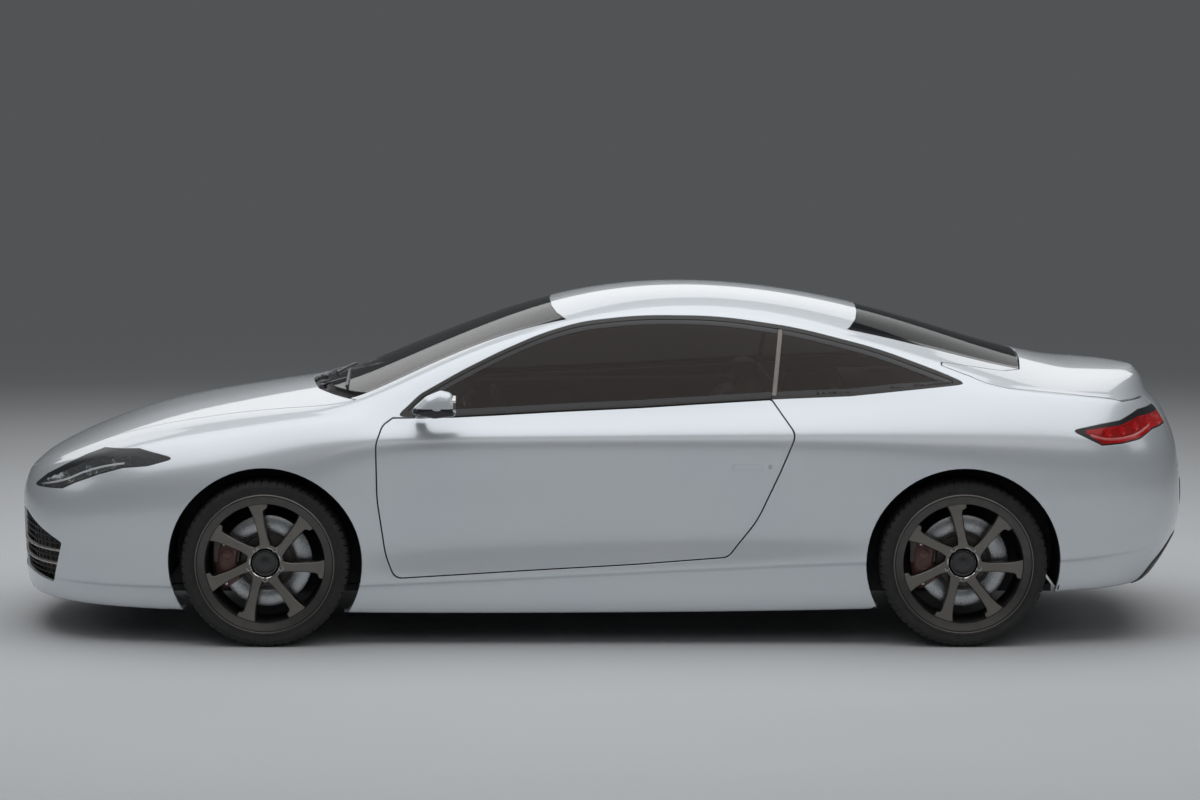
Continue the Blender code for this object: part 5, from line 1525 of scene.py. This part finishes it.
shape = Shape()
wiper(shape, (8.12, 9.30, -.010, 1), (8.36, 9.2, .004, 1), (8.74, 8.72, .004, 1), (8.92, 9.72, .004, 1))
wiper(shape, (8.06, 9.75, -.010, -1), (8.32, 9.6, .004, -1), (8.56, 9.9, .004, 1), (8.80, 9.05, .004, -1))
dress(shape.build("wipers", WIPER_GREY), "body", "black_trim")


# Flush door handles, tail pipes and the high brake lamp
DOOR_ZONE = ((10, 16), (3, 7))


def patch_plate(name, flat, proud, material, slot_name):
    """Thin plate on the door that follows the skin over a side-view outline."""
    outline = dense(rounded(flat, 0, 5), .012)
    centre = outline.mean(0)
    shape = Shape()
    steps = ((1.0, -.0015), (1.0, proud * .6), (.965, proud), (.55, proud * 1.05), (.12, proud * 1.08))
    rings = [skin_points(centre + (outline - centre) * size, *DOOR_ZONE, -lift) for size, lift in steps]
    n = min(len(r) for r in rings)
    pair(shape.loft([r[:n] for r in rings]).build(name, material), "door", slot_name)


HANDLE = ((-.505, .700, .010), (-.515, .722, .010), (-.625, .722, .010), (-.640, .702, .010))
LOCK = ((-.652, .703, .007), (-.652, .719, .007), (-.668, .719, .007), (-.668, .703, .007))
patch_plate("door_handle", HANDLE, .0022, PAINT, "body_paint")
patch_plate("door_lock", LOCK, .0018, STEEL, "steel")

shape = Shape()
for side in (1, -1):
    for offset in (.0, .105):
        y = side * (.34 + offset)
        shape.turned([(.040, -.045), (.043, .090), (.0415, .094), (.0375, .090), (.0355, .0), (.0, .0)], 40,
                     lambda v: np.array([-2.168 - v[1] * .50, y + v[0], .292 + v[2] * .72]),
                     [0, 0, 0, 1, 1, 1])
dress(shape.build("tail_pipes", POLISHED, SATIN_BLACK), "body", "steel")
line = top_points(np.full(24, 15.5), np.linspace(9.35, CENTRE, 24), .012)
line[-1, 1] = 0
line = np.concatenate([line, line[-2::-1] * FLIP])
dress(Shape().tube(line, .0065, 8, 0, flat=.8).build("high_brake_lamp", TAIL_RED), "body", "lamp_red")


# Rear diffuser, and the dark recess between the lamps
for label, near in (("diffuser", -.004), ("plate_recess", -.0035)):
    made = panel(label + "_panel", {label: SATIN_BLACK}, near=near, roll=.001, flange=.016, both=True)
    dress(made, "body", "black_trim")

# Lower rear part of the rear wheelhouse
near, far = ARCH_RADIUS + .006, ARCH_RADIUS + .010
profile = [(near, .30), (near, .862), (far, .862), (far, .30)]
shape = Shape().ring(profile, (X_REAR, 0, WHEEL_Z), 24, 0, start=-106, stop=-86)
pair(shape.build("arch_liner", SATIN_BLACK), "body", "black_trim")


# Cabin: soft seats, dashboard, steering wheel, linings and trims
LINING_WALL = 0.004


def lining(name, s_range, t_range, depth, material, both=False, counts=(40, 14)):
    """Thin inner skin that follows the body at a depth."""
    s, t = np.meshgrid(np.linspace(*s_range, counts[0]), np.linspace(*t_range, counts[1]), indexing="ij")
    shape = Shape()
    layers = [top_points(s, t, deep) for deep in (depth, depth + LINING_WALL)]
    n, m = counts
    rim = [i * m for i in range(n)]
    if both:
        for points in layers:
            points[:, -1, 1] = 0
    else:
        rim += [(n - 1) * m + j for j in range(1, m)] + [i * m + m - 1 for i in range(n - 2, -1, -1)]
    for side in ((1, -1) if both else (1,)):
        skins = [points * [1, side, 1] for points in layers]
        shape.grid(skins[0]).grid(skins[1], True)
        shape.add(np.concatenate(skins).reshape(-1, 3),
                  [[a, b, b + n * m, a + n * m] for a, b in zip(rim, rim[1:])])
    obj = shape.build(name, material)
    return dress(obj, "body", "interior") if both else pair(obj, "body", "interior")


def blunt(value, power=.6):
    """Sine or cosine made fuller, for rounded boxes."""
    return math.copysign(abs(value) ** power, value)


# Soft forms: crown, reach of a seam to either side, and how far out the channels run
SEAT_CROWN, SEAM_REACH, CHANNEL_END = 0.010, 0.0055, 0.60


def pad(path, widths, thick, y, bolster=0.0, seams=(), channels=(), sink=.007, stations=52, sides=64):
    """Soft closed form along a side-view path; seams run along it, channels across it."""
    line = eased([(x, 0, z) for x, z in path], .004)
    at = np.concatenate([[0], np.cumsum(np.linalg.norm(np.diff(line, axis=0), axis=1))])
    rings = []
    reach = at[-1]

    def along(length):
        """Point of the path at a length."""
        return np.array([np.interp(length, at, line[:, k]) for k in range(3)])

    for u in (1 - np.cos(np.linspace(0, np.pi, stations))) / 2:
        here = along(u * reach)
        ahead = along(min(u * reach + .01, reach)) - along(max(u * reach - .01, 0))
        ahead /= np.linalg.norm(ahead)
        normal = np.array([-ahead[2], 0, ahead[0]]) * -1
        w = np.interp(u, np.linspace(0, 1, len(widths)), widths)
        end = (1 - abs(2 * u - 1) ** 7) ** (1 / 3) if 0 < u < 1 else .02
        ring = []
        for k in range(sides):
            a = 2 * math.pi * k / sides
            c, s = blunt(math.cos(a), .55), blunt(math.sin(a), .70)
            side = c * w * (.90 + .10 * end)
            high = thick * s * max(end, .02)
            if s > 0:
                across = abs(side) / w
                rise = np.clip((across - .52) / .30, 0, 1) ** 1.5
                high += bolster * rise * np.clip((1.06 - across) / .22, 0, 1) * end
                high += SEAT_CROWN * (1 - min(1.0, across / .5) ** 2) * end
                for seam in seams:
                    high -= sink * math.exp(-((across - seam) * w / SEAM_REACH) ** 2) * min(1.0, s * 3)
                if across < CHANNEL_END:
                    for channel in channels:
                        high -= sink * math.exp(-((u - channel) * reach / SEAM_REACH) ** 2)
            ring.append(here + normal * high + np.array([0, y + side, 0]))
        rings.append(ring)
    return Shape().loft(rings)


def soft(name, shapes, *nodes):
    """Padded piece from one or more forms, smoothed by one subdivision."""
    whole = Shape()
    for shape in shapes:
        whole.add(shape.verts, shape.faces)
    obj = whole.build(name, SEAT_CLOTH, sharp=70)
    step = obj.modifiers.new("subdivision", "SUBSURF")
    step.levels = step.render_levels = 1
    with bpy.context.temp_override(object=obj, active_object=obj):
        bpy.ops.object.modifier_apply(modifier=step.name)
    dress(obj, "body", "seat", *nodes)


SEAT_Y = 0.37
FLOOR_TOP = 0.1862
CUSHION = ((.215, .350), (.205, .415), (.120, .425), (-.06, .392), (-.26, .360), (-.36, .352))
BACKREST = ((-.350, .330), (-.395, .480), (-.440, .640), (-.490, .790), (-.535, .875))
for side, y in (("left", SEAT_Y), ("right", -SEAT_Y)):
    cushion = pad([(x, z - .02) for x, z in CUSHION], (.235, .250, .252, .245, .225), .070, y, .040, (.50,),
                  (.30, .46, .62, .78))
    soft("seat_cushion_" + side, [cushion], "front_seat_" + side)
    back = pad([(x - .045, z) for x, z in BACKREST], (.215, .250, .262, .250, .205), .062, y, .042, (.48,),
               (.24, .38, .52, .66, .80))
    soft("seat_back_" + side, [back])
    head = pad(((-.588, .890), (-.600, .945), (-.606, 1.010)), (.120, .142, .120), .050, y, .0, (), (.5,),
               stations=36, sides=44)
    soft("headrest_" + side, [head])
    shape = Shape()
    for post in (y - .055, y + .055):
        shape.tube([(-.572, post, .82), (-.585, post, .88), (-.592, post, .925)], .006, 12)
    dress(shape.build("headrest_posts_" + side, STEEL), "body", "steel")
    shape = Shape()
    for edge in (-.205, .205):
        shape.plate(((.17, FLOOR_TOP, .004), (.17, .210, .008), (.06, .330, .02), (-.36, .300, .02),
                     (-.43, .210, .008), (-.43, FLOOR_TOP, .004)),
                    "xz", y + edge - .012, y + edge + .012, .003)
    shape.box((-.36, y - .20, .235), (.12, y + .20, .300), .006)
    shape.plate(((-.400, .285, .01), (-.640, .880, .02), (-.600, .895, .02), (-.350, .330, .02)), "xz",
                y - .195, y + .195, .006)
    dress(shape.build("seat_frame_" + side, CABIN_PLASTIC), "body", "interior")

for side, y in (("left", .285), ("right", -.285)):
    base = pad(((-.520, .335), (-.530, .375), (-.640, .385), (-.780, .375), (-.870, .360)),
               (.235, .255, .258, .250, .230), .058, y, .018, (.60,), (.40, .58, .76))
    back = pad(((-.860, .370), (-.905, .520), (-.945, .680), (-.985, .850)), (.225, .252, .255, .225), .052,
               y, .020, (.60,), (.25, .42, .59, .76))
    soft("rear_bench_" + side, [base, back], *(("rear_seat",) if side == "left" else ()))
shape = Shape()
shape.box((-.90, -.545, .188), (-.535, .545, .318), .012)
shape.plate(((-.885, .300, .01), (-.990, .300, .01), (-.998, .885, .012), (-.972, .892, .012),
             (-.890, .390, .02)), "xz", -.565, .565, .006)
shape.plate(((-.56, .31, .02), (-.56, .400, .03), (-.86, .395, .03), (-.86, .31, .02)), "xz", -.022, .022,
            .006)
dress(shape.build("rear_bench_base", CABIN_PLASTIC), "body", "interior")


# Dashboard with binnacle, vents, middle screen and console
DASH_HALF = 0.69


def dash():
    """Dashboard and console; slots are plastic, black, polished and display."""
    shape = Shape()
    rings = []
    for y in np.concatenate([np.linspace(-DASH_HALF, -.60, 4), np.linspace(-.56, .56, 36),
                             np.linspace(.60, DASH_HALF, 4)]):
        drop = .030 * (abs(y) / DASH_HALF) ** 3
        hood = .034 * math.exp(-((y - SEAT_Y) / .19) ** 4)
        shelf = .012 * math.exp(-((y + SEAT_Y) / .20) ** 4)
        pull = .018 * (abs(y) / DASH_HALF) ** 6
        flat = [(.893, .600), (.893, .905 - drop), (.800, .924 - drop), (.700, .930 - drop + hood * .5),
                (.600, .922 - drop + hood), (.548 + pull, .905 - drop + hood * .9),
                (.528 + pull, .880 - drop + hood * .5), (.545 + pull, .850 - drop),
                (.535 + pull, .800 - drop), (.520 + pull + shelf, .770 - drop), (.545 + pull, .720),
                (.600 + pull, .640), (.640, .600)]
        points = smoothed(np.array(flat), 2)
        rings.append([(x, y, z) for x, z in points])
    shape.loft(rings, 0)
    for y in (-.61, -.11, .11, .61):
        shape.plate(((y - .052, .806, .012), (y + .052, .806, .012), (y + .052, .846, .012),
                     (y - .052, .846, .012)), "yz", .526, .545, .003, 1)
        for z in (.815, .822, .829, .836):
            shape.box((.5235, y - .046, z - .0012), (.530, y + .046, z + .0012), .0004, 2)
    shape.plate(((-.115, .745, .012), (.115, .745, .012), (.115, .800, .012), (-.115, .800, .012)), "yz",
                .516, .540, .004, 3)
    shape.plate(((SEAT_Y - .150, .862, .03), (SEAT_Y + .150, .862, .03), (SEAT_Y + .135, .925, .05),
                 (SEAT_Y - .135, .925, .05)), "yz", .540, .552, .003, 3)
    for offset in (-.075, .075):
        shape.turned([(.036, .0), (.036, .006), (.032, .006), (.031, .002), (.0, .002)], 40,
                     lambda v: np.array([.541 - v[1], SEAT_Y + offset + v[0], .890 + v[2] * .75]),
                     [2, 2, 2, 1, 1])
    for z in (.700, .720):
        for y in np.linspace(-.08, .08, 5):
            shape.box((.548, y - .013, z - .007), (.566, y + .013, z + .007), .002, 1)
    shape.plate(((.60, .188, .01), (.56, .640, .05), (.50, .650, .04), (.34, .470, .06), (-.20, .420, .04),
                 (-.42, .400, .03), (-.42, .188, .01)),
                "xz", -.105, .105, .012, 0)
    shape.plate(((.30, .440, .02), (.06, .452, .02), (.06, .405, .02), (.30, .405, .02)), "xz", -.060, .060,
                .008, 3)
    shape.tube([(.16, 0, .44), (.155, 0, .475), (.150, 0, .515)], .008, 12, 2)
    shape.turned([(.006, -.020), (.021, -.014), (.026, .004), (.022, .018), (.0, .026)], 24,
                 lambda v: np.array([.150 + v[0], v[2], .525 + v[1]]), 1)
    shape.plate(((-.20, .44, .02), (-.41, .43, .03), (-.41, .40, .02), (-.20, .40, .02)), "xz", -.095, .095,
                .015, 1)
    return shape.build("dash_panel", CABIN_PLASTIC, SATIN_BLACK, POLISHED, SCREEN_DARK)


dress(dash(), "body", "interior", "dashboard")


WHEEL_TILT, WHEEL_X, WHEEL_HEIGHT = math.radians(22), .36, .80


def steering_wheel():
    """Rim, three spokes, boss and column, turned to face the driver."""
    shape = Shape()
    angles = np.linspace(0, 2 * math.pi, 97)[:-1]
    count = 14
    verts = []
    for a in angles:
        fat = 1 + .10 * math.exp(-((math.sin(a) - .25) / .16) ** 2)
        squash = .98 if math.sin(a) < 0 else 1
        for w in 2 * math.pi * np.arange(count) / count:
            radius = .178 + .0145 * fat * math.cos(w)
            verts.append((radius * math.cos(a), .0125 * fat * math.sin(w), radius * math.sin(a) * squash))
    shape.add(verts, quads(len(angles), count, True))
    for angle, wide in ((8, .030), (172, .030), (270, .040)):
        a = math.radians(angle)
        along, across = np.array([math.cos(a), 0, math.sin(a)]), np.array([-math.sin(a), 0, math.cos(a)])
        rings = []
        for reach, width, low, thick in ((.030, wide * 1.5, .020, .016), (.080, wide, .014, .010),
                                         (.130, wide * .75, .006, .007), (.172, wide * .85, .0, .006)):
            centre = along * reach + np.array([0, low, 0])
            side = across * width
            rings.append([centre + side * blunt(math.cos(q)) + np.array([0, thick * blunt(math.sin(q)), 0])
                          for q in np.linspace(0, 2 * math.pi, 20, endpoint=False)])
        shape.loft(rings, 1)
    shape.ring([(.062, .040), (.068, .020), (.066, .0), (.056, -.010), (.030, -.016), (.0, -.017)],
               (0, 0, 0), 40, 0, closed=False)
    shape.ring([(.0, .040), (.062, .040)], (0, 0, 0), 40, 0, closed=False)
    shape.ring([(.030, .030), (.030, .250), (.0, .250)], (0, 0, 0), 24, 1, closed=False)
    for side in (1, -1):
        shape.tube([(side * .03, .055, .0), (side * .09, .060, .006), (side * .155, .062, .010)], .007, 10, 1)
    centre = np.array([float(place(WHEEL_X)), SEAT_Y, WHEEL_HEIGHT])
    # Local +Y points to the dash, local X across, local Z up
    forward = np.array([math.cos(WHEEL_TILT), 0, -math.sin(WHEEL_TILT)])
    up = np.array([math.sin(WHEEL_TILT), 0, math.cos(WHEEL_TILT)])
    shape.moved(lambda v: centre + forward * v[1] + up * v[2] + np.array([0, -v[0], 0]))
    return shape.build("steering_wheel_rim", LEATHER_BLACK, SATIN_BLACK)


dress(steering_wheel(), "body", "interior", "steering_wheel")

lining("roof_lining", (12.0, 15.15), (8.0, CENTRE), .022, LINING, both=True, counts=(40, 22))
lining("pillar_lining", (9.3, 12.0), (7.15, 8.12), .020, LINING)
lining("rail_lining", (12.0, 16.6), (7.6, 8.12), .018, LINING)
lining("quarter_lining", (14.66, 16.6), (5.0, 5.95), .034, CABIN_PLASTIC)
lining("boot_trim", (17.2, 20.6), (4.3, 6.2), .028, CARPET)

# Parcel shelf with two speakers
rows = []
for x in np.linspace(-1.0, -1.44, 14):
    half = .66 + .06 * (x + 1.0)
    rise = .035 * max(0, -1.10 - x)
    rows.append([(x, y, .945 + .012 * math.cos(y / half * 1.5) + rise) for y in np.linspace(-half, half, 30)])
rows = np.array(rows)
shape = Shape().grid(rows).grid(rows - [0, 0, .006], True)
for y in (-.40, .40):
    shape.turned([(.080, .0), (.080, .010), (.074, .013), (.0, .010)], 36,
                 lambda v: np.array([-1.16 + v[0] * .7, y + v[2], .956 + v[1]]), 1)
dress(shape.build("parcel_shelf", CABIN_PLASTIC, SATIN_BLACK), "body", "interior")

# Carpet on the floor, with a raised tunnel
rows = np.array([[(x, y, .192 + .10 * math.exp(-(y / .13) ** 4) + .10 * max(0.0, (x - .62) / .26) ** 2)
                  for y in np.linspace(-.845, .845, 61)] for x in np.linspace(.88, -.49, 34)])
shape = Shape().grid(rows).grid(rows * [1, 1, 0] + [0, 0, FLOOR_TOP], True)
dress(shape.build("carpet", CARPET), "body", "interior")

# Door card: armrest, pull, speaker and upper roll, inside the door
shape = Shape()
shape.plate(((.56, .690, .03), (.50, .735, .03), (-.30, .700, .03), (-.42, .640, .03), (.36, .640, .03)),
            "xz", .735, .800, .012, 0)
shape.plate(((.60, .845, .02), (.58, .885, .02), (-.56, .905, .02), (-.58, .855, .02)), "xz", .755, .810,
            .010, 0)
grip = eased([(.34, .760, .745), (.30, .738, .790), (.16, .738, .800), (.10, .760, .755)], .01)
shape.tube(grip, .008, 12, 1)
shape.turned([(.085, .0), (.085, .010), (.078, .014), (.070, .010), (.0, .006)], 48,
             lambda v: np.array([.50 + v[0], .795 - v[1], .46 + v[2]]), [0, 0, 0, 1, 1])
shape.plate(((.30, .30, .03), (.34, .39, .03), (-.36, .42, .03), (-.40, .33, .03)), "xz", .760, .810, .008, 0)
pair(shape.build("door_card", CABIN_PLASTIC, SATIN_BLACK), "door", "interior")

# Inside mirror on its stalk
shape = Shape()
shape.plate(((-.115, 1.170, .02), (.115, 1.170, .02), (.110, 1.225, .02), (-.110, 1.225, .02)), "yz", .205,
            .232, .006, 0)
shape.plate(((-.108, 1.176, .016), (.108, 1.176, .016), (.104, 1.219, .016), (-.104, 1.219, .016)), "yz",
            .2025, .2050, .0008, 1)
shape.tube([(.225, 0, 1.215), (.232, 0, 1.250), (.228, 0, 1.288)], .008, 12, 0)
dress(shape.build("inside_mirror", SATIN_BLACK, POLISHED), "body", "interior")


# Finish of the CAD nodes that stay in view
UPRIGHTS = tuple(f"upright_{end}_{side}" for end in ("front", "rear") for side in ("left", "right"))
for material, names in ((STRUCTURE, ("front_structure", "rear_structure", "floor_pan")),
                        (CAST, ("engine_block", "front_axle", "rear_axle") + UPRIGHTS),
                        (STEEL, ("exhaust",))):
    for name in names:
        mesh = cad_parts[name].data
        mesh.materials.clear()
        mesh.materials.append(material)


# Floor, lights and camera
def soft_light(name, place_at, aim, size, power, color):
    """Rectangular lamp of a size and power, turned to face a point."""
    light = bpy.data.lights.new(name, "AREA")
    light.shape = "RECTANGLE"
    light.size, light.size_y = size
    light.energy = power
    light.color = color
    obj = bpy.data.objects.new(name, light)
    bpy.context.scene.collection.objects.link(obj)
    obj.location = place_at
    obj.rotation_mode = "QUATERNION"
    obj.rotation_quaternion = (Vector(aim) - Vector(place_at)).to_track_quat("-Z", "Y")


def mixed(tree, share, first, second):
    """Output of two shaders mixed."""
    mix = tree.nodes.new("ShaderNodeMixShader")
    for socket, value in zip(mix.inputs, (share, first, second)):
        tree.links.new(value, socket)
    return mix.outputs[0]


# Colours of the backdrop, the floor and the ambient light, and where the floor fades
BACKDROP = (.083, .087, .091)
FLOOR_COLOURS = ((.60, .61, .62), (.62, .63, .64))
AMBIENT, AMBIENT_STRENGTH = (.80, .83, .87), .15
FADE_START, FADE_STOP = 3.0, 15.0
# Lamps: name, place, aim, size, power, colour
LAMPS = (
    ("overhead", (0, .3, 5.0), (0, .3, 0), (9.5, 8.4), 300, (.97, .985, 1.0)),
    ("near_side", (-1.5, 8.0, 4.6), (0, 0, .7), (9.0, 2.6), 42, (1.0, .985, .97)),
    ("far_side", (.5, -7.6, 4.4), (0, 0, .7), (10.0, 3.4), 105, (1, 1, 1)),
    ("tail_light", (-8.0, 1.0, 3.6), (0, 0, .7), (3.4, 2.4), 18, (1, 1, 1)),
    ("nose_light", (8.0, 1.0, 3.6), (0, 0, .7), (3.4, 2.4), 18, (1, 1, 1)),
)


def studio_floor():
    """Pale floor that fades into the backdrop's colour."""
    angles = np.linspace(0, 2 * math.pi, 97)[:-1]
    verts = [(0, 0, 0)] + [(r * math.cos(a), r * math.sin(a), 0) for r in (20.0, 300.0) for a in angles]
    n = len(angles)
    faces = [[0, 1 + k, 1 + (k + 1) % n] for k in range(n)]
    faces += [[1 + k, 1 + n + k, 1 + n + (k + 1) % n, 1 + (k + 1) % n] for k in range(n)]
    material, tree, node, where = shader("studio_floor", FLOOR_COLOURS[0], .75)
    tree.links.new(ramp(tree, noise(tree, where, .6), *FLOOR_COLOURS), node.inputs["Base Color"])
    far = tree.nodes.new("ShaderNodeVectorMath")
    far.operation = "LENGTH"
    tree.links.new(where, far.inputs[0])
    fade = tree.nodes.new("ShaderNodeMapRange")
    fade.interpolation_type = "SMOOTHERSTEP"
    for socket, value in (("From Min", FADE_START), ("From Max", FADE_STOP), ("To Min", 0.0),
                          ("To Max", 1.0)):
        fade.inputs[socket].default_value = value
    tree.links.new(far.outputs["Value"], fade.inputs["Value"])
    glow = tree.nodes.new("ShaderNodeEmission")
    glow.inputs["Color"].default_value = (*BACKDROP, 1)
    output = next(n for n in tree.nodes if n.type == "OUTPUT_MATERIAL")
    tree.links.new(mixed(tree, fade.outputs["Result"], node.outputs[0], glow.outputs[0]),
                   output.inputs["Surface"])
    new_object("studio_floor", verts, faces, (material,))


def studio_world():
    """Dim ambient light; camera, mirror and glass rays see the backdrop's colour."""
    world = bpy.data.worlds.new("studio")
    world.use_nodes = True
    tree = world.node_tree
    ambient = tree.nodes["Background"]
    ambient.inputs["Color"].default_value = (*AMBIENT, 1)
    ambient.inputs["Strength"].default_value = AMBIENT_STRENGTH
    seen = tree.nodes.new("ShaderNodeBackground")
    seen.inputs["Color"].default_value = (*BACKDROP, 1)
    path = tree.nodes.new("ShaderNodeLightPath")
    direct = path.outputs["Is Camera Ray"]
    for kind in ("Is Glossy Ray", "Is Transmission Ray"):
        either = tree.nodes.new("ShaderNodeMath")
        either.operation = "MAXIMUM"
        tree.links.new(direct, either.inputs[0])
        tree.links.new(path.outputs[kind], either.inputs[1])
        direct = either.outputs[0]
    output = mixed(tree, direct, ambient.outputs[0], seen.outputs[0])
    tree.links.new(output, tree.nodes["World Output"].inputs["Surface"])
    bpy.context.scene.world = world
    bpy.context.scene.view_settings.view_transform = "Standard"


CAMERA_DISTANCE, CAMERA_RISE, CAMERA_AIM, LENS_MM, SENSOR_MM = 17.5, math.radians(6), 0.8747, 128.5, 36.0


def photo_camera():
    """Camera that stands where the photograph was taken from."""
    data = bpy.data.cameras.new("photo_camera")
    data.lens, data.sensor_width = LENS_MM, SENSOR_MM
    data.clip_end = 200
    camera = bpy.data.objects.new("photo_camera", data)
    bpy.context.scene.collection.objects.link(camera)
    rise = CAMERA_DISTANCE * math.sin(CAMERA_RISE)
    camera.location = (0, CAMERA_DISTANCE * math.cos(CAMERA_RISE), CAMERA_AIM + rise)
    camera.rotation_mode = "QUATERNION"
    camera.rotation_quaternion = (Vector((0, 0, CAMERA_AIM)) - camera.location).to_track_quat("-Z", "Y")
    bpy.context.scene.camera = camera


studio_floor()
for lamp in LAMPS:
    soft_light(*lamp)
studio_world()
photo_camera()
